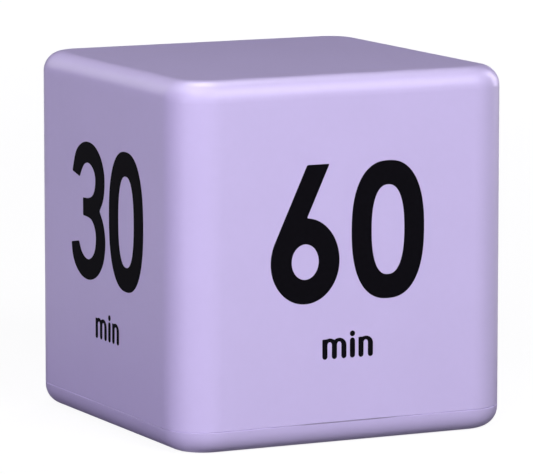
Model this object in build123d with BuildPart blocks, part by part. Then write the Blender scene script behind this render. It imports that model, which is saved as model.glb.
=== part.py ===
from build123d import *
import math
import os

# Cube timer: a lavender cube that is stood with one of its four printed faces up to start a preset.
# Millimetres. The origin is the middle of the resting face, +Z up.
# The 60 minute face looks along -Y, the 30 minute face along -X, the 15 minute face along +Y and
# the 5 minute face along +X. Display, switch and batteries are reached through the bottom cover.

os.makedirs("parts", exist_ok=True)

# Cube
cube = 64.0
upright_edge_radius = 7.5
rim_radius = 3.6
wall = 2.2
floor = 2.4
ceiling_radius = 1.4
overrun = 1.0

# Parting line between housing and bottom cover
seam_height = 4.0
seam_gap = 0.05
seam_break = 0.05
tongue_height = 2.0
tongue_thickness = 0.95
tongue_gap = 0.15
tongue_headroom = 0.2

# Case screws and the posts that take them
screw_inset = 7.5
post_radius = 3.3
post_foot = 5.0
rib_thickness = 1.2
rib_headroom = 0.6
screw_head_radius = 2.1
screw_head_height = 1.6
screw_shank_radius = 1.05
screw_length = 9.8
screw_sink = 0.6
head_room = 0.3
shank_room = 0.35
thread_room = 0.05
pilot_spare = 1.5
cross_width = 0.7
cross_length = 2.6
cross_depth = 0.8

# Battery cells, size AAA
cell_radius = 5.25
cell_length = 44.5
cell_nub_radius = 1.9
cell_nub_height = 0.8
cell_pitch = 10.8
cell_lift = 0.2
cell_edge_radius = 0.5
cell_negative_radius = 3.4
cell_negative_height = 0.2

# Battery bay
bay_room = 0.35
bay_wall = 1.2
bay_post_gap = 0.5
opening_spare = 2.5
ledge = 1.4

# Battery contacts
plate_thickness = 0.4
plate_width = 7.4
plate_height = 7.8
plate_corner_radius = 1.2
dimple_radius = 2.2
dimple_height = 0.9
dimple_flat_radius = 0.9
tab_width = 2.6
tab_rise = 1.9
tab_room = 0.15
spring_length = 4.2
spring_foot_radius = 3.2
spring_tip_radius = 1.6
spring_wire = 0.55
spring_turns = 3.5
spring_touch = 0.02

# Battery door and its latch
door_thickness = 1.2
door_inset = 0.3
door_gap = 0.2
door_seat_gap = 0.05
door_corner_radius = 1.0
cradle_rib_thickness = 1.0
cradle_rib_height = 2.3
cradle_rib_pitch = 10.0
cradle_rib_count = 3
cradle_rib_shift = -6.0
cradle_room = 0.3
hook_width = 1.6
hook_thickness = 1.0
hook_reach = 1.4
hook_lift = 0.4
hook_height = 0.8
latch_width = 8.0
latch_length = 7.05
latch_travel = 0.8
latch_gap = 0.2
catch_width = 3.2
catch_thickness = 1.0
catch_reach = 0.9
catch_height = 0.8
catch_lift = 0.2
spring_strip = 0.6
loop_length = 2.6
loop_rise = 1.9
grip_groove_width = 0.7
grip_groove_depth = 0.4
grip_groove_pitch = 1.4
grip_groove_count = 3

# Display
glass_length = 24.0
glass_depth = 13.6
glass_thickness = 1.0
glass_step = 1.6
glass_margin = 1.3
lens_lap = 1.5
lens_thickness = 1.0
lens_inset = 0.25
lens_corner_radius = 1.2
lens_room = 0.1
view_corner_radius = 0.6
holder_wall = 1.1
holder_room = 0.1
holder_flange = 0.6
holder_bay_gap = 1.1
holder_side_gap = 4.8
zebra_width = 1.5
fence_thickness = 0.8
fence_height = 1.0
fence_room = 0.15

# Circuit board
board_thickness = 1.2
board_bay_gap = 1.3
board_front_gap = 2.2
board_side_gap = 3.3
board_post_gap = 0.6
board_corner_radius = 1.0
boss_radius = 2.2
board_screw_head_radius = 1.9
board_screw_head_height = 1.3
board_screw_shank_radius = 0.85
board_screw_depth = 4.2
board_screw_shares = [(-0.57, 0.858), (0.115, 0.858), (0.905, 0.13)]
blob_radius = 4.4
blob_height = 1.5
blob_share = (-0.08, 0.5)
crystal_radius = 1.0
crystal_length = 6.0
crystal_lead_radius = 0.2
crystal_lead_length = 2.0
crystal_share = (0.42, 0.88)
capacitor_radius = 2.0
capacitor_height = 5.4
capacitor_groove = 0.3
capacitor_share = (-0.87, 0.24)
chip_length = 1.6
chip_width = 0.8
chip_height = 0.5
chip_pitch_long = 3.0
chip_pitch_short = 2.2
chip_columns = 4
chip_rows = 2
chip_share = (-0.12, 0.17)

# Slide switch
switch_length = 8.6
switch_width = 4.4
switch_height = 3.6
switch_side_gap = 11.7
switch_inset = 3.6
switch_travel = 2.0
slider_length = 1.5
slider_width = 1.4
slider_reach = 1.6
slider_sink = 0.9
slider_room = 0.25
knob_length = 4.6
knob_width = 3.2
knob_inset = 0.35
knob_room = 0.25
knob_flange_height = 0.9
knob_flange_side = 0.9
knob_flange_lap = 0.4
knob_flange_lift = 0.15
knob_fork_gap = 0.2
knob_groove_width = 0.5
knob_groove_depth = 0.35
knob_groove_pitch = 1.1
knob_groove_count = 3
dish_length = 12.0
dish_width = 6.4
dish_depth = 0.9

# Buzzer
buzzer_radius = 6.0
buzzer_height = 5.2
buzzer_wall = 0.7
buzzer_mouth_radius = 1.0
buzzer_lift = 0.8
buzzer_side_gap = 13.0
buzzer_inset = 14.0
disc_thickness = 0.25
disc_share = 0.45
disc_room = 0.05
collar_room = 0.3
collar_wall = 0.8
collar_height = 2.2
sound_hole_radius = 0.65
sound_ring_radius = 2.6
sound_ring_count = 6

# Ball tilt switches
can_radius = 2.2
can_length = 9.4
can_wall = 0.45
can_lift = 0.15
can_turn = 45.0
can_a_share = (-0.53, 0.42)
can_b_share = (0.45, 0.42)
plug_length = 1.6
plug_lead_radius = 0.25
plug_lead_pitch = 2.0
plug_lead_length = 1.4
ball_radius = 1.5

# Lead wires
lead_radius = 0.6
lead_rise = 1.1
lead_tab_gap = 0.1
lead_pad_gap = 0.05
lead_pad_inset = 2.6
lead_reach_positive = 4.0
lead_reach_negative = 7.5
lead_bend_share = 0.45

# Places worked out from the sizes above
half = cube / 2
inner_width = cube - 2 * wall
inner_half = inner_width / 2
inner_edge_radius = upright_edge_radius - wall
rabbet_width = inner_width + 2 * (tongue_thickness + tongue_gap)
rabbet_edge_radius = inner_edge_radius + tongue_thickness + tongue_gap
tongue_width = inner_width + 2 * tongue_thickness
tongue_edge_radius = inner_edge_radius + tongue_thickness
housing_foot = seam_height + seam_gap
housing_height = cube - housing_foot
rabbet_top = seam_height + tongue_height + tongue_headroom
ceiling = cube - wall
post_pitch = cube - 2 * screw_inset
screw_offset = post_pitch / 2
screw_seat = screw_sink + screw_head_height
pilot_radius = screw_shank_radius + thread_room
pilot_depth = screw_seat + screw_length + pilot_spare - post_foot

bay_radius = cell_radius + bay_room
bay_width = cell_pitch + 2 * bay_radius
bay_outer_width = bay_width + 2 * bay_wall
bay_length = cell_length + dimple_height + 2 * plate_thickness + spring_length
bay_half_length = bay_length / 2
bay_y = screw_offset - post_radius - bay_post_gap - bay_outer_width / 2
bay_front = bay_y - bay_outer_width / 2
cell_height = floor + cell_lift + cell_radius
front_cell_y = bay_y - cell_pitch / 2
rear_cell_y = bay_y + cell_pitch / 2
bay_top = cell_height + bay_radius + bay_wall
opening_length = cell_length + opening_spare
recess_length = opening_length + 2 * ledge
recess_width = bay_width + 2 * ledge
recess_depth = door_inset + door_thickness + door_seat_gap

holder_length = glass_length + 2 * (holder_room + holder_wall)
holder_depth = glass_depth + 2 * (holder_room + holder_wall)
holder_y = bay_front - holder_bay_gap - holder_depth / 2
display_x = -(inner_half - holder_side_gap - holder_length / 2)
view_length = glass_length - 2 * glass_margin
view_depth = glass_depth - 2 * glass_margin
lens_length = view_length + 2 * lens_lap
lens_depth = view_depth + 2 * lens_lap
glass_foot = floor + holder_flange
zebra_foot = glass_foot + 2 * glass_thickness

board_height = floor + buzzer_lift + buzzer_height
board_rear = bay_front - board_bay_gap
board_front = -(inner_half - board_front_gap)
board_depth = board_rear - board_front
board_y = (board_rear + board_front) / 2
board_half = inner_half - board_side_gap
board_top = board_height + board_thickness
notch_edge = screw_offset - post_radius - board_post_gap


def on_board(place_share):
    """Where a pair of shares lies on the board: of its half width, and of its depth from the rear."""
    return (place_share[0] * board_half, board_rear - place_share[1] * board_depth)


def two_arches(radius):
    """Fills the sketch with the end view of two cells side by side, rounded on top, down to the floor."""
    side = 2 * radius + cell_pitch
    with Locations((bay_y, (floor + cell_height) / 2)):
        Rectangle(side, cell_height - floor)
    with Locations((front_cell_y, cell_height), (rear_cell_y, cell_height)):
        Circle(radius)


# Housing: five walls in one moulding, open below
with BuildPart() as housing:
    with BuildSketch(Plane.XY.offset(housing_foot)):
        RectangleRounded(cube, cube, upright_edge_radius)
    extrude(amount=housing_height)
    fillet(housing.faces().sort_by(Axis.Z)[-1].edges(), rim_radius)
    with BuildSketch(Plane.XY.offset(housing_foot - overrun)):
        RectangleRounded(inner_width, inner_width, inner_edge_radius)
    extrude(amount=ceiling - housing_foot + overrun, mode=Mode.SUBTRACT)
    ceiling_face = housing.faces().filter_by(Axis.Z).sort_by(Axis.Z)[-2]
    fillet(ceiling_face.edges(), ceiling_radius)

    # Rabbet that the cover's tongue stands in
    with BuildSketch(Plane.XY.offset(housing_foot - overrun)):
        RectangleRounded(rabbet_width, rabbet_width, rabbet_edge_radius)
        RectangleRounded(inner_width, inner_width, inner_edge_radius, mode=Mode.SUBTRACT)
    extrude(amount=rabbet_top - housing_foot + overrun, mode=Mode.SUBTRACT)

    # Four screw posts, each tied to its two walls by ribs
    with BuildSketch(Plane.XY.offset(post_foot)):
        with GridLocations(post_pitch, post_pitch, 2, 2):
            Circle(post_radius)
    extrude(amount=ceiling + wall / 2 - post_foot)
    rib_length = half - screw_offset - wall / 2
    rib_pitch = 2 * screw_offset + rib_length
    with BuildSketch(Plane.XY.offset(rabbet_top + rib_headroom)):
        with GridLocations(rib_pitch, post_pitch, 2, 2):
            Rectangle(rib_length, rib_thickness)
        with GridLocations(post_pitch, rib_pitch, 2, 2):
            Rectangle(rib_thickness, rib_length)
    extrude(amount=ceiling + wall / 2 - rabbet_top - rib_headroom)
    with BuildSketch(Plane.XY.offset(post_foot)):
        with GridLocations(post_pitch, post_pitch, 2, 2):
            Circle(pilot_radius)
    extrude(amount=pilot_depth, mode=Mode.SUBTRACT)

    # The seam's edge is broken, which draws the fine line round the cube
    rim_face = housing.faces().filter_by(Axis.Z).sort_by(Axis.Z)[0]
    chamfer(rim_face.outer_wire().edges(), seam_break)
housing.part.label = "housing"
export_step(housing.part, "parts/housing.step")

# Bottom cover: a shallow tray with a tongue round its rim
buzzer_x = inner_half - buzzer_side_gap - buzzer_radius / 2
buzzer_y = board_rear - buzzer_inset
switch_x = inner_half - switch_side_gap - knob_length / 2
switch_y = board_rear - switch_inset
slot_length = knob_length + switch_travel + 2 * knob_room
slot_width = knob_width + 2 * knob_room
with BuildPart() as base_cover:
    with BuildSketch():
        RectangleRounded(cube, cube, upright_edge_radius)
    extrude(amount=seam_height)
    fillet(base_cover.faces().sort_by(Axis.Z)[0].edges(), rim_radius)
    with BuildSketch(Plane.XY.offset(floor)):
        RectangleRounded(inner_width, inner_width, inner_edge_radius)
    extrude(amount=seam_height, mode=Mode.SUBTRACT)
    cover_rim = base_cover.faces().filter_by(Axis.Z).sort_by(Axis.Z)[-1]
    chamfer(cover_rim.outer_wire().edges(), seam_break)
    with BuildSketch(Plane.XY.offset(seam_height)):
        RectangleRounded(tongue_width, tongue_width, tongue_edge_radius)
        RectangleRounded(inner_width, inner_width, inner_edge_radius, mode=Mode.SUBTRACT)
    extrude(amount=tongue_height)

    # Bosses under the case screws, and bosses that carry the board
    with BuildSketch(Plane.XY.offset(floor / 2)):
        with GridLocations(post_pitch, post_pitch, 2, 2):
            Circle(post_radius)
    extrude(amount=post_foot - floor / 2)
    with BuildSketch(Plane.XY.offset(floor / 2)):
        with Locations([on_board(share) for share in board_screw_shares]):
            Circle(boss_radius)
    extrude(amount=board_height - floor / 2)

    # Fence round the display holder, and the collar that guides the buzzer's sound to its holes
    fence_inner_length = holder_length + 2 * fence_room
    fence_inner_depth = holder_depth + 2 * fence_room
    with BuildSketch(Plane.XY.offset(floor / 2)):
        with Locations((display_x, holder_y)):
            Rectangle(fence_inner_length + 2 * fence_thickness, fence_inner_depth + 2 * fence_thickness)
            Rectangle(fence_inner_length, fence_inner_depth, mode=Mode.SUBTRACT)
    extrude(amount=floor / 2 + fence_height)
    with BuildSketch(Plane.XY.offset(floor / 2)):
        with Locations((buzzer_x, buzzer_y)):
            Circle(buzzer_radius + collar_room + collar_wall)
            Circle(buzzer_radius + collar_room, mode=Mode.SUBTRACT)
    extrude(amount=floor / 2 + collar_height)

    # Battery bay: a roof of two arches over the cells, closed at both ends
    with BuildSketch(Plane.YZ.offset(-bay_half_length - bay_wall)):
        two_arches(bay_radius + bay_wall)
    extrude(amount=bay_length + 2 * bay_wall)
    with BuildSketch(Plane.YZ.offset(-bay_half_length)):
        two_arches(bay_radius)
    extrude(amount=bay_length, mode=Mode.SUBTRACT)
    with BuildSketch(Plane.XY.offset(-overrun)):
        with Locations((0, bay_y)):
            Rectangle(opening_length, bay_width)
    extrude(amount=floor + 2 * overrun, mode=Mode.SUBTRACT)
    with BuildSketch():
        with Locations((0, bay_y)):
            RectangleRounded(recess_length, recess_width, door_corner_radius + door_gap)
    extrude(amount=recess_depth, mode=Mode.SUBTRACT)

    # Slots in the bay's roof for the two solder tabs
    tab_x = bay_half_length - plate_thickness / 2
    with BuildSketch(Plane.XY.offset(cell_height)):
        with Locations((tab_x, front_cell_y), (tab_x, rear_cell_y)):
            Rectangle(plate_thickness + 2 * tab_room, tab_width + 2 * tab_room)
    extrude(amount=bay_top - cell_height + overrun, mode=Mode.SUBTRACT)

    # Display window: a seat for the lens and the view through the floor
    with BuildSketch():
        with Locations((display_x, holder_y)):
            RectangleRounded(lens_length, lens_depth, lens_corner_radius)
    extrude(amount=lens_inset + lens_thickness, mode=Mode.SUBTRACT)
    with BuildSketch():
        with Locations((display_x, holder_y)):
            RectangleRounded(view_length, view_depth, view_corner_radius)
    extrude(amount=floor, mode=Mode.SUBTRACT)

    # Finger dish and slot of the switch
    with BuildSketch():
        with Locations((switch_x, switch_y)):
            SlotOverall(dish_length, dish_width)
    extrude(amount=dish_depth, mode=Mode.SUBTRACT)
    with BuildSketch():
        with Locations((switch_x, switch_y)):
            Rectangle(slot_length, slot_width)
    extrude(amount=floor, mode=Mode.SUBTRACT)

    # Sound holes: one in the middle and a ring round it
    with BuildSketch():
        with Locations((buzzer_x, buzzer_y)):
            Circle(sound_hole_radius)
            with PolarLocations(sound_ring_radius, sound_ring_count):
                Circle(sound_hole_radius)
    extrude(amount=floor, mode=Mode.SUBTRACT)

    # Holes for the case screws and for the board screws
    with Locations(Plane.XY.rotated((180, 0, 0))):
        with GridLocations(post_pitch, post_pitch, 2, 2):
            CounterBoreHole(
                radius=screw_shank_radius + shank_room,
                counter_bore_radius=screw_head_radius + head_room,
                counter_bore_depth=screw_seat,
                depth=post_foot,
            )
    with BuildSketch(Plane.XY.offset(board_height)):
        with Locations([on_board(share) for share in board_screw_shares]):
            Circle(board_screw_shank_radius + thread_room)
    extrude(amount=-(board_screw_depth + overrun / 2), mode=Mode.SUBTRACT)
base_cover.part.label = "base_cover"
export_step(base_cover.part, "parts/base_cover.step")

# Battery door: a plate with cradling ribs, two hooks at its left end and a notch for the latch
door_length = recess_length - 2 * door_gap
door_width = recess_width - 2 * door_gap
door_top = door_inset + door_thickness
door_right = door_length / 2
latch_left = door_right - latch_length
notch_left = latch_left - latch_travel - latch_gap
hook_right = -opening_length / 2 + door_seat_gap + cradle_room + hook_thickness
hook_top = floor + hook_lift + hook_height
hook_y = bay_width / 2 - cradle_room - hook_width / 2
with BuildPart() as battery_door:
    with BuildSketch(Plane.XY.offset(door_inset)):
        with Locations((0, bay_y)):
            RectangleRounded(door_length, door_width, door_corner_radius)
        with Locations((notch_left, bay_y)):
            Rectangle(
                door_right - notch_left + overrun,
                latch_width + 2 * latch_gap,
                align=(Align.MIN, Align.CENTER),
                mode=Mode.SUBTRACT,
            )
    extrude(amount=door_thickness)
    for rib in range(cradle_rib_count):
        rib_x = cradle_rib_shift + (rib - (cradle_rib_count - 1) / 2) * cradle_rib_pitch
        with BuildSketch(Plane.YZ.offset(rib_x - cradle_rib_thickness / 2)):
            with Locations((bay_y, door_inset + door_thickness / 2)):
                Rectangle(
                    bay_width - 2 * cradle_room,
                    door_thickness / 2 + cradle_rib_height,
                    align=(Align.CENTER, Align.MIN),
                )
            with Locations((front_cell_y, cell_height), (rear_cell_y, cell_height)):
                Circle(cell_radius + cradle_room, mode=Mode.SUBTRACT)
        extrude(amount=cradle_rib_thickness)
    with BuildSketch(Plane.XY.offset(door_inset + door_thickness / 2)):
        with Locations((hook_right, bay_y - hook_y), (hook_right, bay_y + hook_y)):
            Rectangle(hook_thickness, hook_width, align=(Align.MAX, Align.CENTER))
    extrude(amount=hook_top - door_inset - door_thickness / 2)
    with BuildSketch(Plane.XY.offset(hook_top - hook_height)):
        with Locations((hook_right, bay_y - hook_y), (hook_right, bay_y + hook_y)):
            Rectangle(hook_thickness + hook_reach, hook_width, align=(Align.MAX, Align.CENTER))
    extrude(amount=hook_height)
battery_door.part.label = "battery_door"
export_step(battery_door.part, "parts/battery_door.step")

# Door latch: a finger plate, the catch that hooks over the ledge, and the strip that springs it
catch_right = opening_length / 2 - 2 * latch_gap
catch_foot = floor + catch_lift
strip_right = latch_left + spring_strip
with BuildPart() as door_latch:
    with BuildSketch(Plane.XY.offset(door_inset)):
        with Locations((latch_left, bay_y)):
            Rectangle(latch_length, latch_width, align=(Align.MIN, Align.CENTER))
    extrude(amount=door_thickness)
    with BuildSketch(Plane.XZ.offset(-bay_y - catch_width / 2)) as latch_side:
        with Locations((catch_right, door_inset + door_thickness / 2)):
            Rectangle(
                catch_thickness,
                catch_foot + catch_height - door_inset - door_thickness / 2,
                align=(Align.MAX, Align.MIN),
            )
        with BuildLine():
            Polyline(
                (catch_right - catch_thickness / 2, catch_foot),
                (catch_right + catch_reach, catch_foot),
                (catch_right + catch_reach, catch_foot + catch_height / 2),
                (catch_right, catch_foot + catch_height),
                (catch_right - catch_thickness / 2, catch_foot + catch_height),
                close=True,
            )
        make_face()
        with Locations((strip_right, door_inset + door_thickness / 2)):
            Rectangle(
                spring_strip,
                door_thickness / 2 + loop_rise,
                align=(Align.MAX, Align.MIN),
            )
        with Locations((strip_right, door_top + loop_rise)):
            Rectangle(loop_length, spring_strip, align=(Align.MAX, Align.MAX))
        with Locations((strip_right - loop_length, door_top + door_seat_gap)):
            Rectangle(spring_strip, loop_rise - door_seat_gap, align=(Align.MIN, Align.MIN))
    extrude(amount=catch_width)
    for groove in range(grip_groove_count):
        groove_x = latch_left + latch_length / 2 + (groove - 1) * grip_groove_pitch
        with BuildSketch(Plane.XY.offset(door_inset)):
            with Locations((groove_x, bay_y)):
                Rectangle(grip_groove_width, latch_width - 2 * grip_groove_width)
        extrude(amount=grip_groove_depth, mode=Mode.SUBTRACT)
door_latch.part.label = "door_latch"
export_step(door_latch.part, "parts/door_latch.step")

# Display lens, glass, holder and rubber connectors
with BuildPart() as lcd_window:
    with BuildSketch(Plane.XY.offset(lens_inset)):
        with Locations((display_x, holder_y)):
            RectangleRounded(
                lens_length - 2 * lens_room, lens_depth - 2 * lens_room, lens_corner_radius - lens_room
            )
    extrude(amount=lens_thickness)
lcd_window.part.label = "lcd_window"
export_step(lcd_window.part, "parts/lcd_window.step")

with BuildPart() as lcd_panel:
    with BuildSketch(Plane.XY.offset(glass_foot)):
        with Locations((display_x, holder_y)):
            Rectangle(glass_length, glass_depth - 2 * glass_step)
    extrude(amount=glass_thickness)
    with BuildSketch(Plane.XY.offset(glass_foot + glass_thickness)):
        with Locations((display_x, holder_y)):
            Rectangle(glass_length, glass_depth)
    extrude(amount=glass_thickness)
lcd_panel.part.label = "lcd_panel"
export_step(lcd_panel.part, "parts/lcd_panel.step")

with BuildPart() as lcd_holder:
    with BuildSketch(Plane.XY.offset(floor)):
        with Locations((display_x, holder_y)):
            Rectangle(holder_length, holder_depth)
            Rectangle(view_length, view_depth, mode=Mode.SUBTRACT)
    extrude(amount=holder_flange)
    with BuildSketch(Plane.XY.offset(glass_foot)):
        with Locations((display_x, holder_y)):
            Rectangle(holder_length, holder_depth)
            Rectangle(glass_length + 2 * holder_room, glass_depth + 2 * holder_room, mode=Mode.SUBTRACT)
    extrude(amount=board_height - glass_foot)
lcd_holder.part.label = "lcd_holder"
export_step(lcd_holder.part, "parts/lcd_holder.step")

zebra_pitch = glass_depth - zebra_width
with BuildPart() as zebra_strips:
    with BuildSketch(Plane.XY.offset(zebra_foot)):
        with Locations((display_x, holder_y)):
            with GridLocations(0, zebra_pitch, 1, 2):
                Rectangle(view_length, zebra_width)
    extrude(amount=board_height - zebra_foot)
zebra_strips.part.label = "zebra_strips"
export_step(zebra_strips.part, "parts/zebra_strips.step")

# Circuit board, with its front corners notched round the posts
with BuildPart() as main_board:
    with BuildSketch(Plane.XY.offset(board_height)):
        with Locations((0, board_y)):
            RectangleRounded(2 * board_half, board_depth, board_corner_radius)
        for side in (-1, 1):
            with Locations((side * (notch_edge + half) / 2, -(notch_edge + half) / 2)):
                Rectangle(half - notch_edge, half - notch_edge, mode=Mode.SUBTRACT)
        with Locations([on_board(share) for share in board_screw_shares]):
            Circle(board_screw_shank_radius + shank_room, mode=Mode.SUBTRACT)
    extrude(amount=board_thickness)
main_board.part.label = "main_board"
export_step(main_board.part, "parts/main_board.step")

# Small parts on the board
blob_place = on_board(blob_share)
with BuildPart() as controller_blob:
    with BuildSketch(Plane.XZ.offset(-blob_place[1])):
        with BuildLine():
            Line((blob_place[0], board_top), (blob_place[0] + blob_radius, board_top))
            TangentArc(
                (blob_place[0], board_top + blob_height),
                (blob_place[0] + blob_radius, board_top),
                tangent=(1, 0),
            )
            Line((blob_place[0], board_top + blob_height), (blob_place[0], board_top))
        make_face()
    revolve(axis=Axis((blob_place[0], blob_place[1], 0), (0, 0, 1)))
controller_blob.part.label = "controller_blob"
export_step(controller_blob.part, "parts/controller_blob.step")

crystal_place = on_board(crystal_share)
crystal_height = board_top + crystal_radius
crystal_left = crystal_place[0] - crystal_length / 2
with BuildPart() as clock_crystal:
    with BuildSketch(Plane.YZ.offset(crystal_left)):
        with Locations((crystal_place[1], crystal_height)):
            Circle(crystal_radius)
    extrude(amount=crystal_length)
    with BuildSketch(Plane.YZ.offset(crystal_left - crystal_lead_length)):
        with Locations((crystal_place[1], crystal_height)):
            with GridLocations(crystal_radius, 0, 2, 1):
                Circle(crystal_lead_radius)
    extrude(amount=crystal_lead_length)
clock_crystal.part.label = "clock_crystal"
export_step(clock_crystal.part, "parts/clock_crystal.step")

capacitor_place = on_board(capacitor_share)
with BuildPart() as filter_capacitor:
    with BuildSketch(Plane.XY.offset(board_top)):
        with Locations(capacitor_place):
            Circle(capacitor_radius)
    extrude(amount=capacitor_height)
    with BuildSketch(Plane.XY.offset(board_top + 2 * capacitor_groove)):
        with Locations(capacitor_place):
            Circle(capacitor_radius)
            Circle(capacitor_radius - capacitor_groove / 2, mode=Mode.SUBTRACT)
    extrude(amount=capacitor_groove, mode=Mode.SUBTRACT)
filter_capacitor.part.label = "filter_capacitor"
export_step(filter_capacitor.part, "parts/filter_capacitor.step")

with BuildPart() as chip_parts:
    with BuildSketch(Plane.XY.offset(board_top)):
        with Locations(on_board(chip_share)):
            with GridLocations(chip_pitch_long, chip_pitch_short, chip_columns, chip_rows):
                Rectangle(chip_length, chip_width)
    extrude(amount=chip_height)
chip_parts.part.label = "chip_parts"
export_step(chip_parts.part, "parts/chip_parts.step")

# Slide switch: its case on the board, its slider, and the knob in the cover, all drawn switched off
switch_foot = board_height - switch_height
off_x = switch_x - switch_travel / 2
with BuildPart() as switch_body:
    with BuildSketch(Plane.XY.offset(switch_foot)):
        with Locations((switch_x, switch_y)):
            Rectangle(switch_length, switch_width)
    extrude(amount=switch_height)
    with BuildSketch(Plane.XY.offset(switch_foot)):
        with Locations((switch_x, switch_y)):
            Rectangle(slider_length + switch_travel + 2 * slider_room, slider_width + 2 * slider_room)
    extrude(amount=slider_sink + slider_room, mode=Mode.SUBTRACT)
switch_body.part.label = "switch_body"
export_step(switch_body.part, "parts/switch_body.step")

with BuildPart() as switch_slider:
    with BuildSketch(Plane.XY.offset(switch_foot - slider_reach)):
        with Locations((off_x, switch_y)):
            Rectangle(slider_length, slider_width)
    extrude(amount=slider_reach + slider_sink)
switch_slider.part.label = "switch_slider"
export_step(switch_slider.part, "parts/switch_slider.step")

flange_foot = floor + knob_flange_lift
flange_length = slot_length + switch_travel + 2 * knob_flange_lap
with BuildPart() as switch_knob:
    with BuildSketch(Plane.XY.offset(knob_inset)):
        with Locations((off_x, switch_y)):
            Rectangle(knob_length, knob_width)
    extrude(amount=switch_foot - knob_fork_gap - knob_inset)
    with BuildSketch(Plane.XY.offset(flange_foot)):
        with Locations((off_x, switch_y)):
            Rectangle(flange_length, knob_width + 2 * knob_flange_side)
    extrude(amount=knob_flange_height)
    with BuildSketch(Plane.XY.offset(switch_foot - slider_reach - slider_room)):
        with Locations((off_x, switch_y)):
            Rectangle(slider_length + 2 * slider_room, slider_width + 2 * slider_room)
    extrude(amount=switch_foot, mode=Mode.SUBTRACT)
    with BuildSketch(Plane.XY.offset(knob_inset)):
        with Locations((off_x, switch_y)):
            with GridLocations(knob_groove_pitch, 0, knob_groove_count, 1):
                Rectangle(knob_groove_width, knob_width)
    extrude(amount=knob_groove_depth, mode=Mode.SUBTRACT)
switch_knob.part.label = "switch_knob"
export_step(switch_knob.part, "parts/switch_knob.step")

# Buzzer: a round case under the board, open over the sound holes, with its disc inside
buzzer_foot = board_height - buzzer_height
disc_height = buzzer_foot + disc_share * buzzer_height
with BuildPart() as buzzer_case:
    with BuildSketch(Plane.XY.offset(buzzer_foot)):
        with Locations((buzzer_x, buzzer_y)):
            Circle(buzzer_radius)
    extrude(amount=buzzer_height)
    with BuildSketch(Plane.XY.offset(buzzer_foot + buzzer_wall)):
        with Locations((buzzer_x, buzzer_y)):
            Circle(buzzer_radius - 2 * buzzer_wall)
    extrude(amount=buzzer_height - 2 * buzzer_wall, mode=Mode.SUBTRACT)
    with BuildSketch(Plane.XY.offset(disc_height)):
        with Locations((buzzer_x, buzzer_y)):
            Circle(buzzer_radius - buzzer_wall)
    extrude(amount=disc_thickness + 2 * disc_room, mode=Mode.SUBTRACT)
    with BuildSketch(Plane.XY.offset(buzzer_foot)):
        with Locations((buzzer_x, buzzer_y)):
            Circle(buzzer_mouth_radius)
    extrude(amount=buzzer_wall, mode=Mode.SUBTRACT)
buzzer_case.part.label = "buzzer_case"
export_step(buzzer_case.part, "parts/buzzer_case.step")

with BuildPart() as buzzer_disc:
    with BuildSketch(Plane.XY.offset(disc_height + disc_room)):
        with Locations((buzzer_x, buzzer_y)):
            Circle(buzzer_radius - buzzer_wall - disc_room)
    extrude(amount=disc_thickness)
buzzer_disc.part.label = "buzzer_disc"
export_step(buzzer_disc.part, "parts/buzzer_disc.step")

# Two ball tilt switches at right angles. Each is a can shut by a plug, with a loose ball inside.
can_height = board_top + can_lift + can_radius
ball_room = can_length - can_wall - plug_length
for letter, share, turn in (("a", can_a_share, -can_turn), ("b", can_b_share, can_turn)):
    place = on_board(share)
    along = Vector(math.cos(math.radians(turn)), math.sin(math.radians(turn)), 0)
    middle = Vector(place[0], place[1], can_height)
    mouth_plane = Plane(origin=middle - along * (can_length / 2), x_dir=(0, 0, 1), z_dir=along)
    with BuildPart() as tilt_can:
        with BuildSketch(mouth_plane):
            Circle(can_radius)
        extrude(amount=can_length)
        with BuildSketch(mouth_plane):
            Circle(can_radius - can_wall)
        extrude(amount=can_length - can_wall, mode=Mode.SUBTRACT)
    tilt_can.part.label = "tilt_can_" + letter
    export_step(tilt_can.part, "parts/tilt_can_" + letter + ".step")

    with BuildPart() as tilt_plug:
        with BuildSketch(mouth_plane):
            Circle(can_radius - can_wall)
        extrude(amount=plug_length)
        with BuildSketch(mouth_plane):
            with GridLocations(0, plug_lead_pitch, 1, 2):
                Circle(plug_lead_radius)
        extrude(amount=-plug_lead_length)
    tilt_plug.part.label = "tilt_plug_" + letter
    export_step(tilt_plug.part, "parts/tilt_plug_" + letter + ".step")

    with BuildPart() as tilt_ball:
        with Locations(middle - along * (can_length / 2 - plug_length - ball_room / 2)):
            Sphere(ball_radius)
    tilt_ball.part.label = "tilt_ball_" + letter
    export_step(tilt_ball.part, "parts/tilt_ball_" + letter + ".step")

# Battery cells, head to tail: the front one points right, the rear one left
nub_tip = bay_half_length - plate_thickness - dimple_height
for letter, cell_y, heading in (("a", front_cell_y, 1), ("b", rear_cell_y, -1)):
    tip_plane = Plane(origin=(heading * nub_tip, cell_y, cell_height), x_dir=(0, 1, 0), z_dir=(heading, 0, 0))
    with BuildPart() as battery_cell:
        with BuildSketch(tip_plane.offset(-cell_length + cell_negative_height)):
            Circle(cell_radius)
        extrude(amount=cell_length - cell_nub_height - cell_negative_height)
        fillet(battery_cell.edges().filter_by(GeomType.CIRCLE), cell_edge_radius)
        with BuildSketch(tip_plane.offset(-cell_nub_height)):
            Circle(cell_nub_radius)
        extrude(amount=cell_nub_height)
        with BuildSketch(tip_plane.offset(-cell_length)):
            Circle(cell_negative_radius)
        extrude(amount=cell_negative_height)
    battery_cell.part.label = "battery_cell_" + letter
    export_step(battery_cell.part, "parts/battery_cell_" + letter + ".step")


def contact_outline(cell_y):
    """Draws the face of a contact plate behind one cell."""
    with Locations((cell_y, cell_height)):
        RectangleRounded(plate_width, plate_height, plate_corner_radius)


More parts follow.
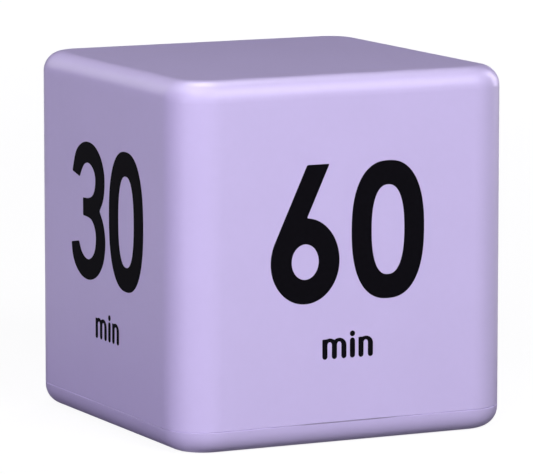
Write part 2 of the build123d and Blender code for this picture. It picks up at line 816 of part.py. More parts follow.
def dimple_profile(face_x, heading):
    """Draws half the profile of the dimple that meets a cell's nub, to be turned about the cell's axis."""
    Polygon(
        (face_x - heading * plate_thickness / 2, cell_height),
        (face_x - heading * plate_thickness / 2, cell_height + dimple_radius),
        (face_x, cell_height + dimple_radius),
        (face_x + heading * dimple_height, cell_height + dimple_flat_radius),
        (face_x + heading * dimple_height, cell_height),
        align=None,
    )


# Contacts at the right end, each with a solder tab up through the roof
tab_height = tab_rise + bay_top - cell_height
plate_face = bay_half_length - plate_thickness
with BuildPart() as positive_contact:
    with BuildSketch(Plane.YZ.offset(plate_face)):
        contact_outline(front_cell_y)
        with Locations((front_cell_y, cell_height)):
            Rectangle(tab_width, tab_height, align=(Align.CENTER, Align.MIN))
    extrude(amount=plate_thickness)
    with BuildSketch(Plane.XZ.offset(-front_cell_y)):
        dimple_profile(plate_face, -1)
    revolve(axis=Axis((0, front_cell_y, cell_height), (1, 0, 0)))
positive_contact.part.label = "positive_contact"
export_step(positive_contact.part, "parts/positive_contact.step")

with BuildPart() as negative_contact:
    with BuildSketch(Plane.YZ.offset(plate_face)):
        contact_outline(rear_cell_y)
        with Locations((rear_cell_y, cell_height)):
            Rectangle(tab_width, tab_height, align=(Align.CENTER, Align.MIN))
    extrude(amount=plate_thickness)
negative_contact.part.label = "negative_contact"
export_step(negative_contact.part, "parts/negative_contact.step")

# Link at the left end: one plate across both cells
with BuildPart() as link_contact:
    with BuildSketch(Plane.YZ.offset(-bay_half_length)):
        contact_outline(front_cell_y)
        contact_outline(rear_cell_y)
        with Locations((bay_y, cell_height)):
            Rectangle(cell_pitch, plate_height / 2, align=(Align.CENTER, Align.MAX))
    extrude(amount=plate_thickness)
    with BuildSketch(Plane.XZ.offset(-rear_cell_y)):
        dimple_profile(-plate_face, 1)
    revolve(axis=Axis((0, rear_cell_y, cell_height), (1, 0, 0)))
link_contact.part.label = "link_contact"
export_step(link_contact.part, "parts/link_contact.step")


def coil_point(turn, face_x, cell_y, heading):
    """The wire's centre after so many turns: a circle that narrows and advances at steady rates."""
    share = turn / spring_turns
    radius = spring_foot_radius + (spring_tip_radius - spring_foot_radius) * share
    first = spring_wire / 2 + spring_touch
    run = spring_length - 2 * first
    angle = 2 * math.pi * turn
    return Vector(
        face_x + heading * (first + run * share),
        cell_y + radius * math.cos(angle),
        cell_height + radius * math.sin(angle),
    )


def coil_heading(turn, face_x, cell_y, heading):
    """The wire's direction there: the derivative of coil_point by the turn."""
    share = turn / spring_turns
    narrowing = (spring_tip_radius - spring_foot_radius) / spring_turns
    radius = spring_foot_radius + (spring_tip_radius - spring_foot_radius) * share
    run = (spring_length - spring_wire - 2 * spring_touch) / spring_turns
    angle = 2 * math.pi * turn
    across = -2 * math.pi * radius * math.sin(angle) + narrowing * math.cos(angle)
    upward = 2 * math.pi * radius * math.cos(angle) + narrowing * math.sin(angle)
    return Vector(heading * run, across, upward).normalized()


def biarc_middle(start, start_way, end, end_way):
    """Where two arcs of like reach meet that join two points and keep both directions."""
    chord = end - start
    both = start_way + end_way
    spread = 2 * (1 - start_way.dot(end_way))
    lean = chord.dot(both)
    reach = (math.sqrt(lean * lean + spread * chord.dot(chord)) - lean) / spread
    return (start + start_way * reach + end - end_way * reach) / 2


def least_coil_gap(face_x, cell_y, heading):
    """The least distance from the wire's surface to itself, between points over half a turn apart."""
    steps_per_turn = 48
    steps = int(spring_turns * steps_per_turn)
    points = [coil_point(step / steps_per_turn, face_x, cell_y, heading) for step in range(steps + 1)]
    gaps = [
        (points[late] - points[early]).length - spring_wire
        for early in range(steps)
        for late in range(early + steps_per_turn // 2, steps + 1)
    ]
    return min(gaps)


# Two wound springs, each one unbroken wire on two arcs for every quarter turn
quarter_turns = round(4 * spring_turns)
for spring_name, face_x, cell_y, heading in (
    ("negative_spring", plate_face, rear_cell_y, -1),
    ("link_spring", -plate_face, front_cell_y, 1),
):
    with BuildPart() as coil:
        with BuildLine() as coil_path:
            for quarter in range(quarter_turns):
                start = coil_point(quarter / 4, face_x, cell_y, heading)
                start_way = coil_heading(quarter / 4, face_x, cell_y, heading)
                end = coil_point((quarter + 1) / 4, face_x, cell_y, heading)
                end_way = coil_heading((quarter + 1) / 4, face_x, cell_y, heading)
                joint = biarc_middle(start, start_way, end, end_way)
                first_arc = TangentArc(start, joint, tangent=start_way)
                TangentArc(joint, end, tangent=first_arc % 1)
        with BuildSketch(Plane(origin=coil_path.line @ 0, z_dir=coil_path.line % 0)):
            Circle(spring_wire / 2)
        sweep(path=coil_path.line)
    coil.part.label = spring_name
    export_step(coil.part, "parts/" + spring_name + ".step")
    coil_gap = least_coil_gap(face_x, cell_y, heading)
    wire_length = sum(edge.length for edge in coil_path.edges())
    wire_volume = math.pi * (spring_wire / 2) ** 2 * wire_length
    volume_share = coil.part.volume / wire_volume
    print(spring_name, "least gap", round(coil_gap, 3), "volume share", round(volume_share, 4))

# Lead wires from the solder tabs, over the bay's roof, down to the board
lead_height = bay_top + lead_rise
for lead_name, cell_y, reach in (
    ("positive_lead", front_cell_y, lead_reach_positive),
    ("negative_lead", rear_cell_y, lead_reach_negative),
):
    pad_y = board_rear - lead_pad_inset
    turn_x = plate_face - reach
    route = [
        (plate_face - lead_tab_gap, cell_y, lead_height),
        (turn_x, cell_y, lead_height),
        (turn_x, pad_y, lead_height),
        (turn_x, pad_y, board_top + lead_pad_gap),
    ]
    drop = lead_height - board_top - lead_pad_gap
    bends = [lead_bend_share * min(reach, cell_y - pad_y), lead_bend_share * min(drop, cell_y - pad_y)]
    with BuildPart() as lead:
        with BuildLine() as lead_path:
            FilletPolyline(*route, radius=bends)
        with BuildSketch(Plane(origin=lead_path.line @ 0, z_dir=lead_path.line % 0)):
            Circle(lead_radius)
        sweep(path=lead_path.line)
    lead.part.label = lead_name
    export_step(lead.part, "parts/" + lead_name + ".step")
    lead_length = sum(edge.length for edge in lead_path.edges())
    print(lead_name, "bends", [round(bend, 2) for bend in bends], "length", round(lead_length, 2))

# Four case screws in the cover's corners, with a cross recess in each head
with BuildPart() as case_screws:
    with BuildSketch(Plane.XY.offset(screw_sink)):
        with GridLocations(post_pitch, post_pitch, 2, 2):
            Circle(screw_head_radius)
    extrude(amount=screw_head_height)
    with BuildSketch(Plane.XY.offset(screw_seat)):
        with GridLocations(post_pitch, post_pitch, 2, 2):
            Circle(screw_shank_radius)
    extrude(amount=screw_length)
    with BuildSketch(Plane.XY.offset(screw_sink)):
        with GridLocations(post_pitch, post_pitch, 2, 2):
            Rectangle(cross_length, cross_width)
            Rectangle(cross_width, cross_length)
    extrude(amount=cross_depth, mode=Mode.SUBTRACT)
case_screws.part.label = "case_screws"
export_step(case_screws.part, "parts/case_screws.step")

# Three screws that hold the board on its bosses
with BuildPart() as board_screws:
    with BuildSketch(Plane.XY.offset(board_top)):
        with Locations([on_board(share) for share in board_screw_shares]):
            Circle(board_screw_head_radius)
    extrude(amount=board_screw_head_height)
    with BuildSketch(Plane.XY.offset(board_top)):
        with Locations([on_board(share) for share in board_screw_shares]):
            Circle(board_screw_shank_radius)
    extrude(amount=-(board_thickness + board_screw_depth))
board_screws.part.label = "board_screws"
export_step(board_screws.part, "parts/board_screws.step")
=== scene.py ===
"""Cube timer: finishes, printed faces, display digits, stage and camera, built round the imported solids.

Lengths are in metres, and patterns in the finishes are in millimetres. The front face looks along -Y and the
left face along -X, and the base rests at z = 0.
"""

import math

import bmesh
import bpy
import numpy as np
from bpy.props import FloatProperty, FloatVectorProperty, PointerProperty
from mathutils import Matrix, Vector


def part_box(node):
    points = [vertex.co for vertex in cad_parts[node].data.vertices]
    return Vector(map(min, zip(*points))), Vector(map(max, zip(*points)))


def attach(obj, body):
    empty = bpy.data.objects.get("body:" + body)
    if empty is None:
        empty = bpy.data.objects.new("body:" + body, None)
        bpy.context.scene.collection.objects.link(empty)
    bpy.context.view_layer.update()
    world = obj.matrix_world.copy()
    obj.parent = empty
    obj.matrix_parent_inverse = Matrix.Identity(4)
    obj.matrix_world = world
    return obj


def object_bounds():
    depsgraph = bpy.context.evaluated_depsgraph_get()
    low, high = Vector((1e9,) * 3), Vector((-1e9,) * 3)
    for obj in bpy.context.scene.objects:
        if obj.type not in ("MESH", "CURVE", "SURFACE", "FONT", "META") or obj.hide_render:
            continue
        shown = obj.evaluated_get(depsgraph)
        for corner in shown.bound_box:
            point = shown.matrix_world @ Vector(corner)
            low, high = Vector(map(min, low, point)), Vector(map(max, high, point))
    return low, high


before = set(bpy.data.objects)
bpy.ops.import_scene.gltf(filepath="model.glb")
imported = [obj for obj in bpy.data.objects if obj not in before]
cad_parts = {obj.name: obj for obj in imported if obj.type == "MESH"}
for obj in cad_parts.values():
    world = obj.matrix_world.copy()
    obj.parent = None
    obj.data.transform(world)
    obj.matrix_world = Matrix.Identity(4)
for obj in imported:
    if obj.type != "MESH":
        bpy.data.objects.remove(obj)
cad_box = [list(corner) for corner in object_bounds()]

bl_info = {
    "name": "Cube timer",
    "version": (1, 0, 0),
    "blender": (4, 5, 0),
    "location": "3D View > Sidebar > Cube timer",
    "description": "Finishes, printed faces, display digits and studio stage of a preset cube timer",
    "category": "Object",
}

MM = 0.001
CUBE = cad_box[1][0] - cad_box[0][0]
HALF = CUBE / 2
CENTRE = (Vector(cad_box[0]) + Vector(cad_box[1])) / 2


def colour_property(name, description, default):
    """A colour that a user can change, in linear light."""
    return FloatVectorProperty(
        name=name, description=description, subtype="COLOR", size=3, min=0.0, max=1.0, default=default
    )


def length_property(name, description, millimetres):
    """A length that a user can change, given here in millimetres and kept in metres."""
    return FloatProperty(name=name, description=description, unit="LENGTH", min=0.0, default=millimetres * MM)


def share_property(name, description, default):
    """A share from 0 to 1 that a user can change."""
    return FloatProperty(
        name=name, description=description, subtype="FACTOR", min=0.0, max=1.0, default=default
    )


def level_property(name, description, default):
    """A strength of light that a user can change, where 1 shows a colour as it is written."""
    return FloatProperty(name=name, description=description, min=0.0, default=default)


def degrees_property(name, description, default):
    """An angle in degrees that a user can change."""
    return FloatProperty(name=name, description=description, default=default)


# Settings that a user would change

class ShellSettings(bpy.types.PropertyGroup):
    """The moulded shell's look."""

    colour: colour_property("Shell colour", "Colour of the moulded plastic", (0.561, 0.483, 0.770))
    roughness: share_property("Roughness", "How matt the satin surface is", 0.36)
    clouding: share_property("Clouding", "How far the colour drifts in soft clouds", 0.018)
    grain: length_property("Grain size", "Width of one bump of the fine moulded grain", 0.35)
    grain_depth: length_property("Grain depth", "Height of the fine moulded grain", 0.003)
    # painted shade: darkens the parting line's middle on the front face, standing in for the shade in its
    # groove
    painted_line_shade: share_property("Parting line shade", "How dark the parting line's middle is", 0.46)
    # painted light: lightens the parting line away from its dark middle, which hides the shade in its groove
    painted_line_light: share_property("Parting line fade", "How far the line fades away from its middle", 0.74)
    # painted shade: the base moulding, door and latch get a darker copy of the housing's colour, standing in
    # for the shade on the base band
    base_painted_shade: share_property("Base shade", "The base moulding's colour as a share of the housing's", 0.92)


class PrintSettings(bpy.types.PropertyGroup):
    """The inked numbers and words on the faces."""

    ink: colour_property("Ink colour", "Colour of the printed numbers", (0.0044, 0.0040, 0.0056))
    thickness: length_property("Ink thickness", "How far the ink stands above the face", 0.02)
    numeral_height: length_property("Numeral height", "Height of the large numbers", 24.0)
    word_height: length_property("Word height", "Height of the small letters without their dot", 3.65)
    corner: length_property("Corner softness", "How far ink rounds a corner", 0.20)


class DisplaySettings(bpy.types.PropertyGroup):
    """The liquid crystal display and its window."""

    glass: colour_property("Glass colour", "Colour of the display's reflector", (0.43, 0.47, 0.39))
    digit: colour_property("Segment colour", "Colour of the resting segments", (0.16, 0.18, 0.15))
    digit_height: length_property("Digit height", "Height of one display digit", 6.6)
    digit_width: length_property("Digit width", "Width of one display digit", 3.5)
    segment: length_property("Segment width", "Width of one segment", 0.72)


class PartSettings(bpy.types.PropertyGroup):
    """Colours of the parts inside and in the base."""

    dark_plastic: colour_property("Dark plastic", "Holder, knob, slider and plugs", (0.022, 0.021, 0.025))
    board: colour_property("Board colour", "Solder mask on the circuit board", (0.012, 0.105, 0.045))
    jacket: colour_property("Cell jacket", "Main colour of the battery cells", (0.020, 0.115, 0.085))
    jacket_band: colour_property("Cell band", "Light band at the cells' plus end", (0.62, 0.63, 0.60))
    steel: colour_property("Steel", "Drawn and plated steel", (0.60, 0.60, 0.61))


class StageSettings(bpy.types.PropertyGroup):
    """Studio lights and camera."""

    side_level: level_property("Side box", "Light on a surface that faces the left side box", 0.285)
    side_tint: colour_property("Side tint", "Tint of the side, ridge and edge boxes", (0.85, 0.78, 1.0))
    left_level: level_property("Left key", "Light on a surface that faces the left key", 0.465)
    front_level: level_property("Front key", "Light on a surface that faces the front key", 0.56)
    gloss_level: level_property("Gloss box", "Shine along the top front edge", 0.8)
    crest_level: level_property("Crest box", "Shine high on the top front edge", 1.1)
    corner_level: level_property("Corner box", "Shine on the near top corner", 0.8)
    ridge_level: level_property("Ridge box", "Shine along the top left edge", 0.075)
    shoulder_level: level_property("Shoulder box", "Shine left of the near top corner", 0.52)
    edge_level: level_property("Edge box", "Shine down the right front edge", 0.9)
    back_level: level_property("Back fill", "Light on a surface that faces the back fill", 0.80)
    rim_level: level_property("Rim box", "Light on a surface that faces the back left box", 0.10)
    under_level: level_property("Under light", "Light on the underside", 0.72)
    sky_level: level_property("Sky light", "Even light from all round", 0.092)
    sky: colour_property("Sky colour", "Tint of the even light", (0.64, 0.57, 1.0))
    distance: length_property("Camera distance", "From the camera to the cube's centre", 838.2)
    azimuth: degrees_property("Camera azimuth", "Turn round the cube from the front", -26.093)
    elevation: degrees_property("Camera elevation", "Height above the horizon", 8.267)


class CubeTimerSettings(bpy.types.PropertyGroup):
    """All settings of the cube timer."""

    shell: PointerProperty(type=ShellSettings)
    prints: PointerProperty(type=PrintSettings)
    display: PointerProperty(type=DisplaySettings)
    parts: PointerProperty(type=PartSettings)
    stage: PointerProperty(type=StageSettings)


# Shader maths

def maths(operation, reflected=False):
    """A method of a number that adds one Math node, on that number alone or with another."""

    def method(self, other=0.0):
        first, second = (other, self) if reflected else (self, other)
        return self.nodes.number("Math", {"operation": operation}, {0: first, 1: second})

    return method


class Number:
    """A socket that carries one number. Each operator on it adds a Math node."""

    def __init__(self, nodes, socket):
        self.nodes = nodes
        self.socket = socket

    __add__ = __radd__ = maths("ADD")
    __sub__ = maths("SUBTRACT")
    __rsub__ = maths("SUBTRACT", reflected=True)
    __mul__ = __rmul__ = maths("MULTIPLY")
    __truediv__ = maths("DIVIDE")
    __pow__ = maths("POWER")
    __or__ = maths("MAXIMUM")
    __abs__ = maths("ABSOLUTE")
    fraction = maths("FRACT")


class Nodes:
    """A node tree, with one method that adds any node."""

    def __init__(self, tree):
        self.tree = tree

    def feed(self, socket, value):
        """Links a socket to a number or another socket, or sets it to a constant."""
        if isinstance(value, Number):
            value = value.socket
        if isinstance(value, bpy.types.NodeSocket):
            self.tree.links.new(value, socket)
        else:
            socket.default_value = value

    def add(self, kind, settings, sockets, output=0):
        """Adds a node with its settings, then its sockets' values or links, and gives one of its outputs."""
        node = self.tree.nodes.new("ShaderNode" + kind)
        for name, value in settings.items():
            setattr(node, name, value)
        for name, value in sockets.items():
            self.feed(node.inputs[name], value)
        return node.outputs[output]

    def number(self, kind, settings, sockets, output=0):
        """Adds a node and gives one of its outputs as a number."""
        return Number(self, self.add(kind, settings, sockets, output))

    def mix(self, factor, first, second):
        """The first colour where the factor is 0, and the second where it is 1."""
        return self.add("Mix", {"data_type": "RGBA"}, {0: factor, 6: opaque(first), 7: opaque(second)}, 2)


class Finish(Nodes):
    """A material made of nodes round a Principled surface whose constants are set on its own sockets."""

    def __init__(self, name, **constants):
        self.material = bpy.data.materials.new(name)
        self.material.use_nodes = True
        super().__init__(self.material.node_tree)
        self.surface = self.tree.nodes["Principled BSDF"]
        self.cover(**constants)

    def cover(self, **sockets):
        """Feeds sockets of the Principled surface, each named with _ for a space."""
        for name, value in sockets.items():
            self.feed(self.surface.inputs[name.replace("_", " ")], value)

    def spot(self, centre=(0.0, 0.0, 0.0), turn=0.0, stretch=(1.0, 1.0, 1.0)):
        """Object coordinates from a centre, turned about Z, in units of one millimetre times the stretch."""
        place = self.add("TexCoord", {}, {}, "Object")
        scale = [MM * value for value in stretch]
        sockets = {"Vector": place, "Location": centre, "Rotation": (0.0, 0.0, turn), "Scale": scale}
        return self.add("Mapping", {"vector_type": "TEXTURE"}, sockets)

    def split(self, spot):
        """The three numbers of a vector."""
        node = self.add("SeparateXYZ", {}, {0: spot}).node
        return [Number(self, socket) for socket in node.outputs]

    def noise(self, spot, size, detail=2.0):
        """Soft noise from 0 to 1 with patches about size wide."""
        return self.number("TexNoise", {}, {"Vector": spot, "Scale": 1 / size, "Detail": detail}, "Fac")

    def step(self, value, edge, soft):
        """0 below the edge and 1 above it, crossing over a width of soft."""
        sockets = {"Value": value, "From Min": edge - soft / 2, "From Max": edge + soft / 2}
        return self.number("MapRange", {}, sockets)

    def band(self, value, centre, half, soft):
        """1 within half of the centre and 0 outside it, with soft edges."""
        return self.step(half - abs(value - centre), 0.0, soft)

    def relief(self, height, depth):
        """Raises the surface by depth, in metres, where the height is 1."""
        self.cover(Normal=self.add("Bump", {}, {"Height": height, "Distance": depth}))

    def shades(self, factor, colour, low, high):
        """A colour times low where the factor is 0, and times high where it is 1."""
        return self.mix(factor, shaded(colour, low), shaded(colour, high))


def opaque(colour):
    """A colour with full alpha where it is written as three numbers."""
    if isinstance(colour, bpy.types.NodeSocket):
        return colour
    return (*tuple(colour)[:3], 1.0)


def shaded(colour, factor):
    """A colour with its three numbers multiplied by a factor."""
    return tuple(factor * value for value in tuple(colour)[:3])


def off_axis(first, second):
    """The distance from an axis, from two numbers measured across it."""
    return (first * first + second * second) ** 0.5


def dress(finish, *names):
    """Gives CAD nodes a finish by replacing what is in their material slots."""
    for name in names:
        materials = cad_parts[name].data.materials
        materials.clear()
        materials.append(finish.material)


def middle(name):
    """The centre of a CAD node's box."""
    low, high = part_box(name)
    return (low + high) / 2


# Finishes, with lengths and patterns in millimetres

# The parting line's height, then half the width and the softness of the line and of a face's skin
LINE_HEIGHT = 4.02
LINE_BAND = (0.12, 0.08)
SKIN_BAND = (0.3, 0.1)
# Middle, half length and softness of the line's run of painted shade along the front face, and of the run
# along the left face where it gets less painted light
PAINTED_SHADE_RUN = (-0.6, 10.0, 8.0)
LESS_PAINTED_LIGHT_RUN = (-14.0, 18.0, 9.0)


def shell_finish(name, settings, shade):
    """Satin moulded plastic: soft clouds, fine grain, and a parting line with painted shade in its middle and
    painted light elsewhere.
    """
    finish = Finish(name, Specular_IOR_Level=0.34)
    spot = finish.spot()
    x, y, z = finish.split(spot)
    clouds = 0.6 * finish.noise(spot, 11.0) + 0.4 * finish.noise(spot, 1.6, 3.0)
    low = shaded(settings.colour, shade * (1 - settings.clouding))
    high = shaded(settings.colour, shade * (1 + settings.clouding))
    side = HALF / MM
    dark = finish.band(y, -side, *SKIN_BAND) * finish.band(x, *PAINTED_SHADE_RUN)
    near = finish.band(x, -side, *SKIN_BAND) * finish.band(y, *LESS_PAINTED_LIGHT_RUN)
    line = finish.band(z, LINE_HEIGHT, *LINE_BAND)
    colour = finish.mix(finish.step(clouds, 0.5, 0.5), low, high)
    # painted shade: the line's middle on the front face is darkened towards a quarter of the shell colour
    colour = finish.mix(settings.painted_line_shade * line * dark, colour, shaded(settings.colour, 0.25))
    # painted light: away from the dark run, and less on the left face's near part, the line is lightened
    # towards 1.2 times the shell colour
    fade = settings.painted_line_light * line * (1.0 - dark) * (1.0 - 0.7 * near)
    colour = finish.mix(fade, colour, shaded(settings.colour, 1.2))
    grain = finish.noise(spot, settings.grain / MM, 1.0)
    finish.cover(Base_Color=colour, Roughness=settings.roughness - 0.03 + 0.06 * clouds)
    finish.relief(grain, settings.grain_depth)
    return finish


def ink_finish(settings):
    """Screen ink: nearly black, a little uneven, with a fine flow in its surface."""
    finish = Finish("print_ink", Specular_IOR_Level=0.008)
    spot = finish.spot()
    flow = finish.noise(spot, 0.8, 3.0)
    finish.cover(Base_Color=finish.shades(flow, settings.ink, 0.8, 1.3), Roughness=0.42 + 0.14 * flow)
    finish.relief(finish.noise(spot, 0.25), 0.0008 * MM)
    return finish


def window_finish():
    """Clear moulded lens with faint handling haze."""
    finish = Finish("clear_lens", IOR=1.49, Transmission_Weight=1.0)
    haze = finish.noise(finish.spot(), 4.0, 4.0)
    colour = finish.mix(haze, (0.95, 0.96, 0.97), (1.0, 1.0, 1.0))
    finish.cover(Base_Color=colour, Roughness=0.02 + 0.05 * haze)
    return finish


GLASS_HALF_FIELD = (11.0, 5.9)


def glass_finish(settings):
    """Display glass over its reflector: a speckled grey green with a darker glued border."""
    finish = Finish("display_glass", IOR=1.5, Coat_Weight=0.6, Coat_Roughness=0.04)
    spot = finish.spot(middle("lcd_panel"))
    x, y = finish.split(spot)[:2]
    speckle = finish.noise(spot, 0.12, 1.0)
    drift = finish.noise(spot, 9.0)
    half_width, half_height = GLASS_HALF_FIELD
    border = finish.step(abs(x), half_width, 0.25) | finish.step(abs(y), half_height, 0.25)
    face = finish.shades(0.5 * speckle + 0.5 * drift, settings.glass, 0.90, 1.08)
    colour = finish.mix(border, face, shaded(settings.glass, 0.35))
    finish.cover(Base_Color=colour, Roughness=0.22 + 0.1 * speckle)
    return finish


def dark_plastic_finish(settings):
    """Black moulded plastic with a fine spark-eroded grain."""
    finish = Finish("black_plastic", Specular_IOR_Level=0.4)
    spot = finish.spot()
    grain = finish.noise(spot, 0.22, 2.0)
    drift = finish.noise(spot, 3.0)
    colour = finish.shades(drift, settings.dark_plastic, 0.75, 1.35)
    finish.cover(Base_Color=colour, Roughness=0.42 + 0.18 * grain)
    finish.relief(grain, 0.006 * MM)
    return finish


def epoxy_finish():
    """A drop of glossy black epoxy with a slow wave in its skin."""
    finish = Finish("epoxy_drop", IOR=1.55)
    spot = finish.spot()
    wave = finish.noise(spot, 1.8)
    colour = finish.mix(wave, (0.006, 0.006, 0.007), (0.016, 0.015, 0.015))
    finish.cover(Base_Color=colour, Roughness=0.16 + 0.16 * wave)
    finish.relief(wave, 0.05 * MM)
    return finish


RUBBER_LAYERS = 0.36


def rubber_finish():
    """Layered contact rubber: thin dark and pale sheets side by side."""
    finish = Finish("conductive_rubber", Specular_IOR_Level=0.3)
    spot = finish.spot()
    x = finish.split(spot)[0]
    layers = finish.band((x / RUBBER_LAYERS).fraction(), 0.5, 0.25, 0.1)
    colour = finish.mix(layers, (0.02, 0.02, 0.02), (0.60, 0.42, 0.40))
    finish.cover(Base_Color=colour, Roughness=0.62 + 0.12 * finish.noise(spot, 0.5))
    return finish


def board_finish(settings):
    """Circuit board: solder mask with raised tracks on both faces, and bare glass cloth at its edge."""
    finish = Finish("circuit_board", Specular_IOR_Level=0.5)
    spot = finish.spot()
    z = finish.split(spot)[2]
    low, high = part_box("main_board")
    half = (high.z - low.z) / 2 / MM
    mask_thickness = 0.06
    edge = 1.0 - finish.step(abs(z - (low.z + high.z) / 2 / MM), half - mask_thickness, 0.02)
    bricks = {
        "Vector": spot, "Scale": 0.55, "Mortar Size": 0.035, "Mortar Smooth": 0.2,
        "Brick Width": 1.7, "Row Height": 0.62,
    }
    tracks = finish.number("TexBrick", {"offset": 0.37}, bricks, "Fac")
    cloth = finish.noise(finish.spot(stretch=(4.0, 4.0, 0.3)), 0.4)
    mask = finish.mix(tracks, settings.board, shaded(settings.board, 1.9))
    weave = finish.mix(cloth, (0.42, 0.36, 0.18), (0.60, 0.53, 0.30))
    finish.cover(Base_Color=finish.mix(edge, mask, weave), Roughness=0.30 + 0.4 * edge + 0.06 * cloth)
    finish.relief(tracks, 0.035 * MM)
    return finish


def steel_finish(name, settings, polish, centre=(0.0, 0.0, 0.0), turn=0.0, stretch=(1.0, 1.0, 1.0)):
    """Bright metal with fine streaks along the way it was drawn. Polish is its least roughness."""
    finish = Finish(name, Metallic=1.0)
    streaks = finish.noise(finish.spot(centre, turn, stretch), 0.3, 3.0)
    cloud = finish.noise(finish.spot(centre, turn), 2.0)
    colour = finish.shades(cloud, settings.steel, 0.88, 1.12)
    finish.cover(Base_Color=colour, Roughness=polish + 0.16 * streaks)
    finish.relief(streaks, 0.003 * MM)
    return finish


SLEEVE_LIP = 0.08
BARE_TOP_RADIUS = 1.62
STRIPE_HALF_WIDTH = 0.55
STRIPE_FROM = 1.2


def capacitor_finish():
    """Shrunk sleeve with a pale stripe down its minus side, and a bare aluminium top."""
    finish = Finish("capacitor_sleeve", Specular_IOR_Level=0.5)
    low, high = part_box("filter_capacitor")
    spot = finish.spot(((low.x + high.x) / 2, (low.y + high.y) / 2, high.z))
    x, y, z = finish.split(spot)
    radius = off_axis(x, y)
    top = finish.step(z, -SLEEVE_LIP, 0.02) * (1.0 - finish.step(radius, BARE_TOP_RADIUS, 0.06))
    stripe = finish.band(y, 0.0, STRIPE_HALF_WIDTH, 0.06) * finish.step(-1.0 * x, STRIPE_FROM, 0.1)
    grain = finish.noise(spot, 0.3)
    sleeve = finish.mix(grain, (0.012, 0.016, 0.05), (0.018, 0.024, 0.07))
    sleeve = finish.mix(stripe, sleeve, (0.55, 0.56, 0.58))
    colour = finish.mix(top, sleeve, (0.75, 0.75, 0.76))
    finish.cover(Base_Color=colour, Metallic=top, Roughness=0.28 + 0.12 * grain)
    return finish


CHIP_PITCH = 3.0
CHIP_BODY_HALF = 0.55
CHIP_TOP = 0.2


def chip_finish():
    """Small ceramic chips with tinned ends: tan bodies in one row and black tops in the other."""
    finish = Finish("chip_ceramic", Specular_IOR_Level=0.45)
    spot = finish.spot(middle("chip_parts"))
    x, y, z = finish.split(spot)
    along = abs((x / CHIP_PITCH).fraction() - 0.5) * CHIP_PITCH
    ends = finish.step(along, CHIP_BODY_HALF, 0.06)
    dark_row = finish.step(y, 0.0, 0.1) * finish.step(z, CHIP_TOP, 0.02)
    speckle = finish.noise(spot, 0.1)
    body = finish.mix(speckle, (0.34, 0.22, 0.12), (0.44, 0.30, 0.17))
    body = finish.mix(dark_row, body, (0.015, 0.015, 0.016))
    colour = finish.mix(ends, body, (0.66, 0.65, 0.62))
    finish.cover(Base_Color=colour, Metallic=ends, Roughness=0.36 + 0.14 * speckle)
    return finish


SILVERED_RADIUS = 3.6
RINGS_PER_MM = 6.0


def brass_finish():
    """Sounder disc: turned brass with a silvered ceramic face in its middle."""
    finish = Finish("brass_disc")
    spot = finish.spot(middle("buzzer_disc"))
    x, y = finish.split(spot)[:2]
    radius = off_axis(x, y)
    silver = 1.0 - finish.step(radius, SILVERED_RADIUS, 0.08)
    rings = finish.noise(finish.add("CombineXYZ", {}, {0: radius * RINGS_PER_MM}), 1.0, 3.0)
    brass = finish.mix(rings, (0.62, 0.42, 0.15), (0.80, 0.58, 0.26))
    colour = finish.mix(silver, brass, (0.70, 0.69, 0.66))
    finish.cover(Base_Color=colour, Metallic=1.0 - 0.4 * silver, Roughness=0.24 + 0.16 * rings)
    finish.relief(rings, 0.004 * MM)
    return finish


# Prints on a cell's jacket: the light band and the stripe, each with its distance from the plus end and half
# its width, the two signs' distances from their own ends, and a sign's arm and half width. Then how far the
# jacket wraps over the minus end, and how far it stays from both ends
JACKET_BAND = (8.5, 4.0)
JACKET_STRIPE = (13.6, 0.35)
PLUS_PLACE = 6.6
MINUS_PLACE = 4.0
SIGN_ARM = 1.1
SIGN_HALF = 0.28
JACKET_WRAP = 0.75
BARE_END = 1.0


def cell_finish(name, settings, node, towards):
    """Battery cell: printed jacket with a light band and signs, and bare steel at both ends."""
    finish = Finish(name, Specular_IOR_Level=0.5, Coat_Roughness=0.12)
    low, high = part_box(node)
    radius = (high.y - low.y) / 2 / MM
    spot = finish.spot((low + high) / 2)
    x, y, z = finish.split(spot)
    tip = (high.x - low.x) / MM / 2
    along = x * towards
    sharp = 0.05

    def bar(place, reach, half_width):
        """A bar of print at a place along the cell."""
        return finish.band(along, place, reach, sharp) * finish.band(y, 0.0, half_width, sharp)

    inside = 1.0 - finish.step(off_axis(y, z), radius - JACKET_WRAP, 0.08)
    far = finish.step(abs(along + 0.4), tip - BARE_END, sharp)
    ends = far * inside | finish.step(along, tip - BARE_END - sharp, sharp)
    band = finish.band(along, tip - JACKET_BAND[0], JACKET_BAND[1], sharp)
    stripe = finish.band(along, tip - JACKET_STRIPE[0], JACKET_STRIPE[1], sharp)
    below = 1.0 - finish.step(z, 0.0, 0.1)
    plus = bar(tip - PLUS_PLACE, SIGN_ARM, SIGN_HALF) | bar(tip - PLUS_PLACE, SIGN_HALF, SIGN_ARM)
    minus = bar(MINUS_PLACE - tip, SIGN_HALF, SIGN_ARM)
    print_flow = finish.noise(spot, 0.5)
    jacket = finish.shades(print_flow, settings.jacket, 0.92, 1.08)
    jacket = finish.mix(band | stripe, jacket, settings.jacket_band)
    jacket = finish.mix(plus * below, jacket, shaded(settings.jacket, 0.8))
    jacket = finish.mix(minus * below, jacket, settings.jacket_band)
    finish.cover(
        Base_Color=finish.mix(ends, jacket, settings.steel),
        Metallic=ends,
        Roughness=0.26 + 0.10 * print_flow + 0.05 * ends,
        Coat_Weight=0.5 * (1.0 - ends),
    )
    return finish


